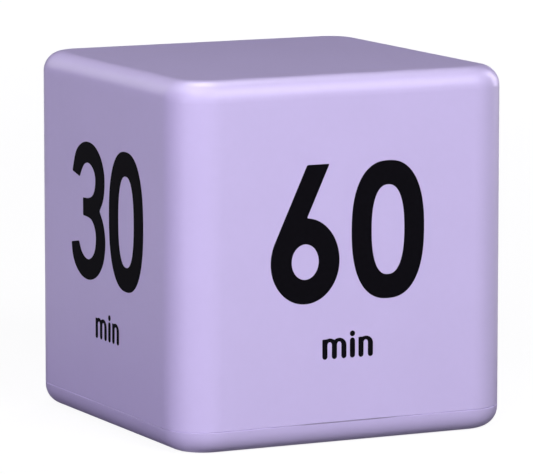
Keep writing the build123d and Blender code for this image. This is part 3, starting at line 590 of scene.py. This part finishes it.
def lead_finish(name, colour):
    """Wire insulation with a soft sheen, and tinned copper at the soldered ends."""
    finish = Finish(name, Specular_IOR_Level=0.4)
    spot = finish.spot()
    x, _, z = finish.split(spot)
    board_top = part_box("main_board")[1].z / MM
    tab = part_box("positive_contact")[1].x / MM
    at_board, at_tab = 0.9, 1.1
    bare = (1.0 - finish.step(z, board_top + at_board, 0.1)) | finish.step(x, tab - at_tab, 0.1)
    flow = finish.noise(spot, 0.9)
    colour = finish.mix(bare, finish.shades(flow, colour, 0.85, 1.15), (0.62, 0.60, 0.57))
    finish.cover(Base_Color=colour, Metallic=bare, Roughness=0.46 + 0.10 * flow - 0.12 * bare)
    return finish


def screw_finish(settings):
    """Zinc on steel: a faint warm and cool stain and fine turned marks."""
    finish = Finish("screw_steel", Metallic=1.0)
    spot = finish.spot()
    stain = finish.noise(spot, 1.1, 3.0)
    marks = finish.noise(finish.spot(stretch=(3.0, 3.0, 0.5)), 0.25, 2.0)
    colour = finish.mix(stain, (0.50, 0.50, 0.54), (0.66, 0.64, 0.58))
    finish.cover(Base_Color=colour, Roughness=0.26 + 0.2 * marks)
    finish.relief(marks, 0.004 * MM)
    return finish


# Outlines of numbers and letters, in millimetres, with the lower left of each at zero

ZERO_SIZE = (14.05, 24.0)
ZERO_HOLE = (6.34, 15.6)
ROUNDNESS = 2.4
SIX_WIDTH = 13.14
SIX_BOWL = (6.57, 7.26)
SIX_BOWL_TOP = 7.6
SIX_HOLE = (5.17, 6.13)
SIX_HOLE_RISE = 0.05
SIX_NOTCH = math.radians(87)
SIX_STEM_LEAN = 0.4685
THREE_WIDTH = 14.36
THREE_RUNS = (
    ((0.61, 18.3), (2.1, 21.75), (4.4, 23.4), (7.1, 24.0), (10.0, 23.55), (12.5, 21.9), (14.0, 19.3),
     (14.1, 16.6), (13.4, 14.3), (11.95, 12.5)),
    ((11.95, 12.5), (13.7, 10.2), (14.36, 7.3), (13.75, 4.2), (12.1, 1.95), (9.8, 0.55), (7.0, 0.0),
     (4.2, 0.42), (1.9, 1.75), (0.55, 3.6), (0.05, 5.8)),
    ((3.26, 6.35), (4.3, 4.7), (5.9, 3.75), (7.5, 3.62), (9.2, 4.5), (10.2, 6.1), (10.35, 8.3), (9.4, 10.0),
     (7.9, 10.8), (5.03, 11.03)),
    ((5.03, 14.1), (7.3, 14.25), (9.1, 14.9), (10.1, 16.3), (10.2, 18.2), (9.3, 19.6), (7.5, 20.35),
     (5.8, 20.0), (4.6, 18.9), (3.74, 17.6)),
)
ONE_WIDTH = 8.2
ONE_RUNS = (
    ((5.2, 24.0), (8.2, 24.0)),
    ((8.2, 0.0), (4.15, 0.0)),
    ((4.15, 19.1), (0.3, 16.9)),
    ((0.3, 20.7),),
)
FIVE_WIDTH = 13.7
FIVE_RUNS = (
    ((1.9, 24.0), (12.5, 24.0)),
    ((12.5, 20.1), (5.5, 20.1)),
    ((5.15, 15.1), (7.6, 15.6), (10.6, 14.6), (12.9, 12.0), (13.7, 8.1), (12.9, 4.1), (10.5, 1.1),
     (6.9, 0.0), (3.3, 0.9), (1.0, 3.2), (0.0, 6.4)),
    ((3.9, 7.2), (4.9, 5.0), (6.8, 3.95), (8.7, 4.7), (9.7, 6.6), (9.75, 9.2), (8.8, 11.2), (7.0, 12.0),
     (5.4, 11.5), (4.5, 10.3)),
    ((0.9, 10.9),),
)
STEP = 0.08


def curve_through(knots, steps=10):
    """Points on a Catmull-Rom curve: a cubic between two knots leaves each in line with its neighbours."""
    knots = np.asarray(knots, float)
    if len(knots) < 3:
        return knots
    around = np.vstack([2 * knots[0] - knots[1], knots, 2 * knots[-1] - knots[-2]])
    a, b, c, d = around[:-3, None], around[1:-2, None], around[2:-1, None], around[3:, None]
    t = np.linspace(0, 1, steps, endpoint=False)[None, :, None]
    curve = b + 0.5 * ((c - a) * t + (2 * a - 5 * b + 4 * c - d) * t**2 + (3 * b - a - 3 * c + d) * t**3)
    return np.vstack([curve.reshape(-1, 2), knots[-1:]])


def softened(points, reach):
    """The closed line through the points at even steps, each then the mean of its neighbours within reach."""
    ring = np.vstack([points, points[:1]])
    ring = ring[np.append(True, np.hypot(*np.diff(ring, axis=0).T) > 1e-6)]
    along = np.append(0.0, np.cumsum(np.hypot(*np.diff(ring, axis=0).T)))
    at = np.arange(0, along[-1], along[-1] / round(along[-1] / STEP))
    even = np.column_stack([np.interp(at, along, ring[:, 0]), np.interp(at, along, ring[:, 1])])
    count = max(1, round(reach / STEP))
    for _ in range(2):
        even = np.mean([np.roll(even, shift, axis=0) for shift in range(-count, count + 1)], axis=0)
    return even


def superellipse(centre, size, exponent=2.0, start=0.0, end=2 * math.pi):
    """Points where |x/a| and |y/b|, each to the exponent, add up to 1, from a start angle to an end angle."""
    angle = np.linspace(start, end, 160)
    cos, sin = np.cos(angle), np.sin(angle)
    x = np.sign(cos) * np.abs(cos) ** (2 / exponent) * size[0] / 2
    y = np.sign(sin) * np.abs(sin) ** (2 / exponent) * size[1] / 2
    return np.column_stack([x, y]) + centre


def zero_outlines():
    """A tall ring: a superellipse inside another with the same centre."""
    centre = (ZERO_SIZE[0] / 2, ZERO_SIZE[1] / 2)
    return [superellipse(centre, ZERO_SIZE, ROUNDNESS), superellipse(centre, ZERO_HOLE, ROUNDNESS)]


def six_outlines():
    """A leaning stem whose left edge meets an elliptical bowl along the bowl's tangent, and a round hole."""
    half, fall = SIX_BOWL
    rise = SIX_BOWL_TOP
    centre = np.array((half, fall))
    tangent = math.atan(SIX_STEM_LEAN * rise / half)
    lower = superellipse(centre, (2 * half, 2 * fall), 2.0, math.pi, 2 * math.pi)
    left = superellipse(centre, (2 * half, 2 * rise), 2.0, math.pi - tangent, math.pi)
    right = superellipse(centre, (2 * half, 2 * rise), 2.0, 0.0, SIX_NOTCH)
    height = ZERO_SIZE[1]
    stem_left = left[0][0] + SIX_STEM_LEAN * (height - left[0][1])
    stem_right = right[-1][0] + SIX_STEM_LEAN * (height - right[-1][1])
    stem = np.array([(stem_right, height), (stem_left, height)])
    hole = superellipse((half, fall + SIX_HOLE_RISE), SIX_HOLE)
    return [np.vstack([stem, left, lower[1:], right[1:]]), hole]


def run_outlines(runs):
    """One closed outline of smooth runs that meet at corners."""
    return [np.vstack([curve_through(run) for run in runs])]


# Outlines and width of each numeral
NUMERALS = {
    "0": (zero_outlines(), ZERO_SIZE[0]),
    "1": (run_outlines(ONE_RUNS), ONE_WIDTH),
    "3": (run_outlines(THREE_RUNS), THREE_WIDTH),
    "5": (run_outlines(FIVE_RUNS), FIVE_WIDTH),
    "6": (six_outlines(), SIX_WIDTH),
}

LETTER_STROKE = 0.98
LETTER_PITCH = 1.83
LETTER_RISE = 1.3
LETTER_HEIGHT = 3.65
LETTER_GAP = 0.67
LETTER_SOFTNESS = 0.1
ARCH_LIFT = 0.15
ARCH_THINNING = 0.8
ARCHED_HEAD = 0.6
ARCHED_HEAD_DROP = 0.12
DOTTED_HEAD_DROP = 0.13
DOT_SIZE = 1.02
DOT_CENTRE = 4.24
HALF_TURN = np.linspace(0, math.pi, 24)


def arched_letter(arches):
    """An n or an m: legs with round feet, and a top edge that is the highest of the arches' half ellipses."""
    half = LETTER_STROKE / 2
    spring = LETTER_HEIGHT - LETTER_RISE
    reach = LETTER_PITCH / 2 + half
    x = np.linspace(-half, arches * LETTER_PITCH + half, 90)
    middles = LETTER_PITCH * (np.arange(arches) + 0.5)
    inside = np.clip(1 - ((x[:, None] - middles) / reach) ** 2, 0, 1)
    top = spring + LETTER_RISE * np.sqrt(inside).max(axis=1)
    top = np.where(x < half * ARCHED_HEAD, np.maximum(top, LETTER_HEIGHT - ARCHED_HEAD_DROP), top)
    parts = [np.column_stack([x, top])]
    across, along = np.cos(HALF_TURN), np.sin(HALF_TURN)
    inner = (LETTER_PITCH - LETTER_STROKE) / 2
    inner_spring = spring + ARCH_LIFT
    inner_rise = LETTER_RISE - LETTER_STROKE * ARCH_THINNING
    for leg in reversed(range(arches + 1)):
        parts.append(np.column_stack([leg * LETTER_PITCH + half * across, half - half * along]))
        if leg:
            arch = (leg - 0.5) * LETTER_PITCH
            parts.append(np.column_stack([arch + inner * across, inner_spring + inner_rise * along]))
    return [np.vstack(parts) + (half, 0.0)]


def dotted_letter():
    """An i: a round-ended stem and a round dot."""
    half = LETTER_STROKE / 2
    across, along = half * np.cos(HALF_TURN), half * np.sin(HALF_TURN)
    foot = np.column_stack([-across, half - along])
    head = np.column_stack([across, LETTER_HEIGHT - DOTTED_HEAD_DROP - half + along])
    stem = np.vstack([foot, head]) + (half, 0.0)
    return [stem, superellipse((half, DOT_CENTRE), (DOT_SIZE, DOT_SIZE))]


# Outlines and width of each letter of "min"
WORD = (
    (arched_letter(2), 2 * LETTER_PITCH + LETTER_STROKE),
    (dotted_letter(), LETTER_STROKE),
    (arched_letter(1), LETTER_PITCH + LETTER_STROKE),
)


def side_by_side(signs, gap, reach):
    """Softened outlines of numerals or letters set side by side from zero, and their whole width."""
    outlines, left = [], 0.0
    for made, width in signs:
        outlines += [softened(outline, reach) + (left, 0.0) for outline in made]
        left += width + gap
    return outlines, left - gap


# Meshes

def flat_mesh(name, outlines, thickness, origin, right, up):
    """A plate of even thickness inside closed outlines in millimetres, with holes where they nest, on a face.

    A point (u, v) of an outline goes to origin + u right + v up, and the plate rises along right x up.
    """
    curve = bpy.data.curves.new(name, "CURVE")
    curve.dimensions = "2D"
    curve.fill_mode = "BOTH"
    curve.extrude = thickness / 2
    for outline in outlines:
        spline = curve.splines.new("POLY")
        spline.points.add(len(outline) - 1)
        flat = np.column_stack([outline * MM, np.zeros(len(outline)), np.ones(len(outline))])
        spline.points.foreach_set("co", flat.ravel())
        spline.use_cyclic_u = True
    holder = bpy.data.objects.new(name + "_curve", curve)
    mesh = bpy.data.meshes.new_from_object(holder)
    mesh.name = name
    bpy.data.objects.remove(holder)
    bpy.data.curves.remove(curve)
    right, up = Vector(right), Vector(up)
    out = right.cross(up)
    turn = Matrix((right, up, out)).transposed().to_4x4()
    mesh.transform(Matrix.Translation(Vector(origin) + out * thickness / 2) @ turn)
    merged = bmesh.new()
    merged.from_mesh(mesh)
    bmesh.ops.remove_doubles(merged, verts=merged.verts, dist=thickness / 20)
    bmesh.ops.recalc_face_normals(merged, faces=merged.faces)
    merged.to_mesh(mesh)
    merged.free()
    return mesh


def link_mesh(mesh, finish):
    """Links a mesh with its finish as an object at the origin."""
    mesh.materials.append(finish.material)
    piece = bpy.data.objects.new(mesh.name, mesh)
    bpy.context.scene.collection.objects.link(piece)
    return piece


def add_print(mesh, finish):
    """Adds a printed mesh as a piece that rides on the case."""
    piece = link_mesh(mesh, finish)
    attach(piece, "case")


def grid_mesh(name, points, closed):
    """A surface on a grid of rows and columns of points, closed round its columns or open."""
    rows, columns = points.shape[:2]
    index = np.arange(rows * columns).reshape(rows, columns)
    if closed:
        index = np.column_stack([index, index[:, 0]])
    faces = np.stack([index[:-1, :-1], index[:-1, 1:], index[1:, 1:], index[1:, :-1]], axis=-1).reshape(-1, 4)
    mesh = bpy.data.meshes.new(name)
    mesh.from_pydata(points.reshape(-1, 3).tolist(), [], faces.tolist())
    return mesh


# Operators

class CubeTimerOperator(bpy.types.Operator):
    """What the operators share: their settings and their way of working."""

    bl_options = {"REGISTER", "UNDO"}

    def execute(self, context):
        self.make(context.scene.cube_timer)
        return {"FINISHED"}


class FinishShell(CubeTimerOperator):
    """Gives the housing, base cover, battery door and latch their satin plastic, with painted shade on the
    last three
    """

    bl_idname = "cube_timer.finish_shell"
    bl_label = "Shell"

    def make(self, settings):
        shell = settings.shell
        dress(shell_finish("lavender_housing", shell, 1.0), "housing")
        # painted shade: a darker copy of the shell finish for the base moulding, door and latch
        base = shell_finish("lavender_base_painted_shade", shell, shell.base_painted_shade)
        dress(base, "base_cover", "battery_door", "door_latch")


class FinishDisplay(CubeTimerOperator):
    """Finishes the display's lens, glass and contact rubbers, and adds the resting digits"""

    bl_idname = "cube_timer.finish_display"
    bl_label = "Display"

    def make(self, settings):
        display = settings.display
        dress(window_finish(), "lcd_window")
        dress(glass_finish(display), "lcd_panel")
        dress(rubber_finish(), "zebra_strips")
        segments = Finish("display_segments", IOR=1.5)
        speckle = segments.noise(segments.spot(), 0.15, 1.0)
        colour = segments.shades(speckle, display.digit, 0.9, 1.1)
        segments.cover(Base_Color=colour, Roughness=0.25 + 0.1 * speckle)
        view = middle("lcd_window")
        origin = (view.x, view.y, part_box("lcd_panel")[0].z)
        outlines = digit_outlines(display)
        mesh = flat_mesh("display_digits", outlines, SEGMENT_THICKNESS, origin, *UNDERSIDE)
        add_print(mesh, segments)


# The base's own right and up, as seen from below
UNDERSIDE = ((1, 0, 0), (0, -1, 0))
SEGMENT_THICKNESS = 0.02 * MM
DIGIT_GAP = 0.95
COLON_GAP = 1.9
SEGMENT_SLIT = 0.10


def bar_outline(start, end, width, slit):
    """A bar between two corners, short of each by the slit, with points half its width long."""
    start, end = np.array(start, float), np.array(end, float)
    along = (end - start) / np.hypot(*(end - start))
    across = np.array((-along[1], along[0])) * width / 2
    neck = along * width / 2
    start, end = start + along * slit, end - along * slit
    near, far = start + neck, end - neck
    return np.array([start, near - across, far - across, end, far + across, near + across])


def digit_outlines(display):
    """Four seven-bar digits and a colon, centred on zero."""
    height, width, bar = (size / MM for size in (display.digit_height, display.digit_width, display.segment))
    step = width + DIGIT_GAP
    inner = (COLON_GAP + DIGIT_GAP) / 2
    w, h = width - bar, height - bar
    corners = {"a": (0, h), "b": (w, h), "c": (0, h / 2), "d": (w, h / 2), "e": (0, 0), "f": (w, 0)}
    outlines = []
    for left in (-inner - width - step, -inner - width, inner, inner + step):
        for first, second in ("ab", "cd", "ef", "ca", "ec", "db", "fd"):
            outline = bar_outline(corners[first], corners[second], bar, SEGMENT_SLIT)
            outlines.append(outline + (left + bar / 2, -h / 2))
    for rise in (-h / 4, h / 4):
        outlines.append(superellipse((0.0, rise), (bar, bar)))
    return outlines


class FinishBoard(CubeTimerOperator):
    """Finishes the circuit board and the parts soldered to it"""

    bl_idname = "cube_timer.finish_board"
    bl_label = "Circuit board"

    def make(self, settings):
        parts = settings.parts
        dress(board_finish(parts), "main_board")
        dress(epoxy_finish(), "controller_blob")
        can = steel_finish("crystal_can", parts, 0.16, middle("clock_crystal"), stretch=(6.0, 1.0, 1.0))
        dress(can, "clock_crystal")
        dress(capacitor_finish(), "filter_capacitor")
        dress(chip_finish(), "chip_parts")


class FinishSwitch(CubeTimerOperator):
    """Finishes the slide switch, its slider and knob, and prints ON and OFF beside its slot"""

    bl_idname = "cube_timer.finish_switch"
    bl_label = "Slide switch"

    def make(self, settings):
        parts = settings.parts
        case = steel_finish("switch_case", parts, 0.22, middle("switch_body"), stretch=(5.0, 1.0, 1.0))
        dress(case, "switch_body")
        dark = dark_plastic_finish(parts)
        dress(dark, "switch_slider", "switch_knob", "lcd_holder", "buzzer_case", "tilt_plug_a", "tilt_plug_b")
        knob = middle("switch_knob")
        origin = (knob.x + SLOT_OFFSET, knob.y, 0.0)
        mesh = flat_mesh("switch_legend", legend_outlines(), LEGEND_THICKNESS, origin, *UNDERSIDE)
        add_print(mesh, ink_finish(settings.prints))


SLOT_OFFSET = 1.0 * MM
LEGEND_THICKNESS = 0.01 * MM
LEGEND_HEIGHT = 1.7
LEGEND_STROKE = 0.34
LEGEND_GAP = 0.35
LEGEND_PLACES = (-8.5, 8.1)


def legend_outlines():
    """OFF at the left of the slot and ON at its right, in plain capitals."""
    h, s = LEGEND_HEIGHT, LEGEND_STROKE
    w, round_width = 0.62 * h, 0.72 * h
    arm, low, slant = 0.85 * w, 0.42 * h, 0.34 * h
    centre = (round_width / 2, h / 2)
    ring = [superellipse(centre, (round_width, h), 2.4)]
    ring.append(superellipse(centre, (round_width - 2 * s, h - 2 * s), 2.2))
    f = [np.array([(0, 0), (s, 0), (s, low), (arm, low), (arm, low + s), (s, low + s), (s, h - s), (w, h - s),
                   (w, h), (0, h)])]
    n = [np.array([(0, 0), (s, 0), (s, h - slant), (w - s, 0), (w, 0), (w, h), (w - s, h), (w - s, slant),
                   (s, h), (0, h)])]
    outlines = []
    for letters, place in zip(((ring, f, f), (ring, n)), LEGEND_PLACES):
        widths = [round_width if letter is ring else w for letter in letters]
        left = place - (sum(widths) + LEGEND_GAP * (len(letters) - 1)) / 2
        for letter, width in zip(letters, widths):
            outlines += [outline + (left, -h / 2) for outline in letter]
            left += width + LEGEND_GAP
    return outlines


class FinishSounder(CubeTimerOperator):
    """Finishes the sounder's brass disc"""

    bl_idname = "cube_timer.finish_sounder"
    bl_label = "Sounder"

    def make(self, settings):
        dress(brass_finish(), "buzzer_disc")


class FinishTiltSwitches(CubeTimerOperator):
    """Finishes the two ball tilt switches"""

    bl_idname = "cube_timer.finish_tilt_switches"
    bl_label = "Tilt switches"

    def make(self, settings):
        parts = settings.parts
        for letter, turn in (("a", math.radians(-45)), ("b", math.radians(45))):
            can, ball = "tilt_can_" + letter, "tilt_ball_" + letter
            dress(steel_finish(can, parts, 0.16, middle(can), turn, (8.0, 1.0, 1.0)), can)
            dress(steel_finish(ball, parts, 0.08, middle(ball), turn), ball)


class FinishCells(CubeTimerOperator):
    """Finishes the two battery cells"""

    bl_idname = "cube_timer.finish_cells"
    bl_label = "Battery cells"

    def make(self, settings):
        for letter, towards in (("a", 1.0), ("b", -1.0)):
            node = "battery_cell_" + letter
            dress(cell_finish("cell_jacket_" + letter, settings.parts, node, towards), node)


class FinishContacts(CubeTimerOperator):
    """Finishes the battery contacts, their springs and the two lead wires"""

    bl_idname = "cube_timer.finish_contacts"
    bl_label = "Contacts and leads"

    def make(self, settings):
        parts = settings.parts
        plates = steel_finish("plated_plates", parts, 0.2, stretch=(1.0, 1.0, 7.0))
        dress(plates, "positive_contact", "negative_contact", "link_contact")
        dress(steel_finish("plated_springs", parts, 0.18), "negative_spring", "link_spring")
        dress(lead_finish("red_insulation", (0.42, 0.012, 0.012)), "positive_lead")
        dress(lead_finish("black_insulation", (0.014, 0.014, 0.015)), "negative_lead")


class FinishScrews(CubeTimerOperator):
    """Finishes the case screws and the board screws"""

    bl_idname = "cube_timer.finish_screws"
    bl_label = "Screws"

    def make(self, settings):
        dress(screw_finish(settings.parts), "case_screws", "board_screws")


NUMBER_BASE = 24.95
WORD_BASE = 15.05
# Name, digits, the face's foot and its own right, shift to the right, lift, gap between the digits, and scale
FACES = (
    ("print_60_min", "60", (0, -HALF, 0), (1, 0, 0), -0.50, 0.0, 2.33, 1.0),
    ("print_30_min", "30", (-HALF, 0, 0), (0, -1, 0), 1.23, 0.50, 1.60, 1.02),
    ("print_15_min", "15", (0, HALF, 0), (-1, 0, 0), 0.0, 0.0, 1.90, 1.0),
    ("print_5_min", "5", (HALF, 0, 0), (0, 1, 0), 0.0, 0.0, 1.90, 1.0),
)


def centred(outlines, width, scale, shift, base):
    """Outlines times a scale, with the middle of their width at the shift, standing on the base."""
    return [outline * scale + (shift - width * scale / 2, base) for outline in outlines]


class PrintFaces(CubeTimerOperator):
    """Prints each side face's number of minutes and the word min under it"""

    bl_idname = "cube_timer.print_faces"
    bl_label = "Printed faces"

    def make(self, settings):
        prints = settings.prints
        ink = ink_finish(prints)
        tall = prints.numeral_height / MM / ZERO_SIZE[1]
        small = prints.word_height / MM / LETTER_HEIGHT
        word, word_width = side_by_side(WORD, LETTER_GAP, LETTER_SOFTNESS)
        for name, digits, origin, right, shift, lift, gap, scale in FACES:
            numerals = [NUMERALS[digit] for digit in digits]
            number, width = side_by_side(numerals, gap / scale, prints.corner / MM)
            outlines = centred(number, width, tall * scale, shift, NUMBER_BASE + lift)
            outlines += centred(word, word_width, small * scale, shift, WORD_BASE + lift)
            mesh = flat_mesh(name, outlines, prints.thickness, origin, right, (0, 0, 1))
            add_print(mesh, ink)


# Stage

def ray_kind(nodes, name):
    """1 for one kind of ray and 0 for the others."""
    return Number(nodes, nodes.add("LightPath", {}, {}, name))


def seen_directly(nodes, mirrored):
    """1 for rays from the camera or through glass, mirrored for mirrored rays, and 0 for all others."""
    straight = ray_kind(nodes, "Is Camera Ray") | ray_kind(nodes, "Is Transmission Ray")
    return straight | mirrored * ray_kind(nodes, "Is Glossy Ray")


def aim(piece, azimuth, elevation, distance):
    """Links a lamp or camera at a distance from the cube's centre, looking at it.

    The azimuth is the turn from the front and the elevation the height above the horizon, in degrees.
    """
    turn, rise = math.radians(azimuth), math.radians(elevation)
    back = Vector((math.sin(turn) * math.cos(rise), -math.cos(turn) * math.cos(rise), math.sin(rise)))
    piece.location = CENTRE + back * distance
    piece.rotation_mode = "QUATERNION"
    piece.rotation_quaternion = (-back).to_track_quat("-Z", "Y")
    bpy.context.scene.collection.objects.link(piece)


def lamp(name, azimuth, elevation, distance, size, level, unseen=(), tint=(1.0, 1.0, 1.0)):
    """A soft box aimed at the cube, left out of the kinds of light in unseen.

    Its level is the light on a surface that faces it, where 1 shows a colour as written.
    """
    data = bpy.data.lights.new(name, "AREA")
    data.shape = "RECTANGLE"
    data.size, data.size_y = size
    data.energy = level * math.pi**2 * distance**2
    data.color = tint
    holder = bpy.data.objects.new(name, data)
    for kind in ("camera", *unseen):
        setattr(holder, "visible_" + kind, False)
    aim(holder, azimuth, elevation, distance)


def floor_points(opening, reach, columns=96, rows=24):
    """Rings of points from a wide circle in to a square opening under the cube.

    A column keeps one angle, and its radius goes from reach to the square by the cube of an even share.
    """
    angle = np.linspace(0, 2 * math.pi, columns, endpoint=False)[None, :]
    share = np.linspace(1, 0, rows)[:, None] ** 3
    radius = (1 - share) * opening / np.maximum(np.abs(np.cos(angle)), np.abs(np.sin(angle))) + share * reach
    return np.stack([radius * np.cos(angle), radius * np.sin(angle), np.zeros_like(radius)], axis=-1)


def card_points(azimuth, spread, distance, height, columns=24):
    """An upright card on an arc round the cube: one row of points on the floor and one at its height."""
    turn = np.radians(np.linspace(azimuth - spread, azimuth + spread, columns))
    foot = np.stack([distance * np.sin(turn), -distance * np.cos(turn), np.zeros(columns)], axis=-1)
    return np.stack([foot, foot + (0, 0, height)])


# The floor's strength of white, the share of the floor's and the sky's white that mirrored rays see, and the
# share of the light from below that the floor blocks. Then where the last two begin on the floor: cube sides
# from its middle, and a soft width in millimetres. Nearer the cube, mirrored rays see a painted shadow
FLOOR_GLOW = 0.91
MIRRORED = 0.6
BLOCKED = 0.88
PAINTED_SHADOW_EDGE = (1.5, 90.0)
BLOCKED_FROM = (0.452, 4.2)

PHOTO_WIDTH = 533
SENSOR_WIDTH = 36.0
FOCAL_LENGTH = 318.67
SHIFT_PIXELS = (-2.0, -0.7)
CLIP_RANGE = (0.05, 50.0)


class SetStage(CubeTimerOperator):
    """Sets up the pale floor, the even sky, the soft boxes and the camera"""

    bl_idname = "cube_timer.set_stage"
    bl_label = "Stage"

    def make(self, settings):
        stage = settings.stage
        self.set_floor()
        self.set_card()
        self.set_world(stage)
        self.set_lamps(stage)
        self.set_camera(stage)
        bpy.context.scene.view_settings.view_transform = "Standard"

    def set_floor(self):
        """A pale sheet that shows white to the camera with the cube's soft shadow, and is clear from below.

        Mirrored rays see its white only away from the cube, a painted shadow round the cube in reflections.
        """
        paper = Finish("floor_paper")
        paper.tree.nodes.remove(paper.surface)
        fibre = paper.noise(paper.spot(), 40.0)
        sheet = paper.mix(fibre, (0.135, 0.135, 0.14), (0.145, 0.145, 0.15))
        diffuse = paper.add("BsdfDiffuse", {}, {"Color": sheet})
        x, y = paper.split(paper.spot())[:2]
        away = abs(x) | abs(y)
        side = CUBE / MM
        # painted shadow: mirrored rays see the floor's glow fade out towards the cube
        mirrored_past_painted_shadow = paper.step(away, side * PAINTED_SHADOW_EDGE[0], PAINTED_SHADOW_EDGE[1])
        strength = FLOOR_GLOW * seen_directly(paper, MIRRORED * mirrored_past_painted_shadow)
        glow = paper.add("Emission", {}, {"Strength": strength})
        both = paper.add("AddShader", {}, {0: diffuse, 1: glow})
        blocked = BLOCKED * paper.step(away, side * BLOCKED_FROM[0], BLOCKED_FROM[1])
        leak = (1.0 - blocked) * ray_kind(paper, "Is Shadow Ray")
        below = paper.number("NewGeometry", {}, {}, "Backfacing") | leak
        shown = paper.add("MixShader", {}, {0: below, 1: both, 2: paper.add("BsdfTransparent", {}, {})})
        paper.feed(paper.tree.nodes["Material Output"].inputs["Surface"], shown)
        mesh = grid_mesh("studio_floor", floor_points(opening=0.42 * CUBE, reach=6.0), closed=True)
        clear_of_base = -0.02 * MM
        mesh.transform(Matrix.Translation((0, 0, clear_of_base)))
        link_mesh(mesh, paper)

    def set_card(self):
        """A dark card behind the cube, out of the picture, that keeps the sky's glare off the top face."""
        card = Finish("card_paper", Specular_IOR_Level=0.0)
        fibre = card.noise(card.spot(), 30.0)
        card.cover(Base_Color=card.mix(fibre, (0.045, 0.045, 0.045), (0.055, 0.055, 0.055)))
        points = card_points(azimuth=154.0, spread=38.0, distance=1.3, height=1.05)
        piece = link_mesh(grid_mesh("studio_card", points, closed=False), card)
        piece.visible_camera = False

    def set_world(self, stage):
        """Even tinted light, which the camera and glass show as white and mirrored rays as less white."""
        world = bpy.data.worlds.new("studio_sky")
        world.use_nodes = True
        nodes = Nodes(world.node_tree)
        seen = seen_directly(nodes, MIRRORED)
        background = world.node_tree.nodes["Background"]
        nodes.feed(background.inputs["Color"], nodes.mix(seen, stage.sky, (1.0, 1.0, 1.0)))
        nodes.feed(background.inputs["Strength"], stage.sky_level + (1.0 - stage.sky_level) * seen)
        bpy.context.scene.world = world

    def set_lamps(self, stage):
        """Keys in front, a side box, fills behind, a lamp below, and boxes that only shine in the edges."""
        small, middling, tint = (0.4, 0.4), (0.6, 0.6), stage.side_tint
        light_only, shine_only = ("glossy",), ("diffuse",)
        # Name, azimuth, elevation, distance, width and height, level, what it is left out of, and tint
        lamp("side_box", -67.0, 8.0, 1.0, small, stage.side_level, (), tint)
        lamp("left_key", -34.0, 26.5, 0.9, small, stage.left_level, light_only)
        lamp("front_key", 9.0, 29.0, 0.9, small, stage.front_level, light_only)
        lamp("gloss_box", 26.0, 46.5, 1.0, (0.6, 0.8), stage.gloss_level, shine_only)
        lamp("crest_box", 154.0, 75.0, 1.0, (0.5, 0.5), stage.crest_level, shine_only)
        lamp("corner_box", -50.0, 56.0, 1.0, middling, stage.corner_level, shine_only)
        lamp("shoulder_box", -118.0, 56.0, 1.0, middling, stage.shoulder_level, shine_only)
        lamp("ridge_box", -178.0, 31.0, 1.0, (0.5, 0.25), stage.ridge_level, shine_only, tint)
        lamp("edge_box", 100.0, 20.0, 1.0, (0.3, 0.9), stage.edge_level, shine_only, tint)
        lamp("back_fill", 135.0, 5.0, 1.1, small, stage.back_level, light_only)
        lamp("rim_box", -160.0, 20.0, 1.0, small, stage.rim_level)
        lamp("under_box", -20.0, -60.0, 1.0, (0.8, 0.8), stage.under_level)

    def set_camera(self, stage):
        """The camera stands where the photograph was taken from, with its small shift."""
        data = bpy.data.cameras.new("photo_camera")
        data.sensor_width = SENSOR_WIDTH
        data.lens = FOCAL_LENGTH
        data.shift_x, data.shift_y = (pixels / PHOTO_WIDTH for pixels in SHIFT_PIXELS)
        data.clip_start, data.clip_end = CLIP_RANGE
        camera = bpy.data.objects.new("photo_camera", data)
        aim(camera, stage.azimuth, stage.elevation, stage.distance)
        bpy.context.scene.camera = camera


class CUBETIMER_PT_panel(bpy.types.Panel):
    """Lists the cube timer's settings and operators in the 3D view's sidebar"""

    bl_label = "Cube timer"
    bl_idname = "CUBETIMER_PT_panel"
    bl_space_type = "VIEW_3D"
    bl_region_type = "UI"
    bl_category = "Cube timer"

    def draw(self, context):
        settings = context.scene.cube_timer
        for group in (settings.shell, settings.prints, settings.display, settings.parts, settings.stage):
            box = self.layout.box()
            for name in group.__annotations__:
                box.prop(group, name)
        for operator in OPERATORS:
            self.layout.operator(operator.bl_idname)


OPERATORS = (
    FinishShell, FinishDisplay, FinishBoard, FinishSwitch, FinishSounder, FinishTiltSwitches, FinishCells,
    FinishContacts, FinishScrews, PrintFaces, SetStage,
)
CLASSES = (
    ShellSettings, PrintSettings, DisplaySettings, PartSettings, StageSettings, CubeTimerSettings, *OPERATORS,
    CUBETIMER_PT_panel,
)


def register():
    for item in CLASSES:
        bpy.utils.register_class(item)
    bpy.types.Scene.cube_timer = PointerProperty(type=CubeTimerSettings)


def unregister():
    del bpy.types.Scene.cube_timer
    for item in reversed(CLASSES):
        bpy.utils.unregister_class(item)


def main():
    """Registers the add-on and runs its operators in order."""
    register()
    for operator in OPERATORS:
        group, name = operator.bl_idname.split(".")
        getattr(getattr(bpy.ops, group), name)()


if __name__ == "__main__":
    main()
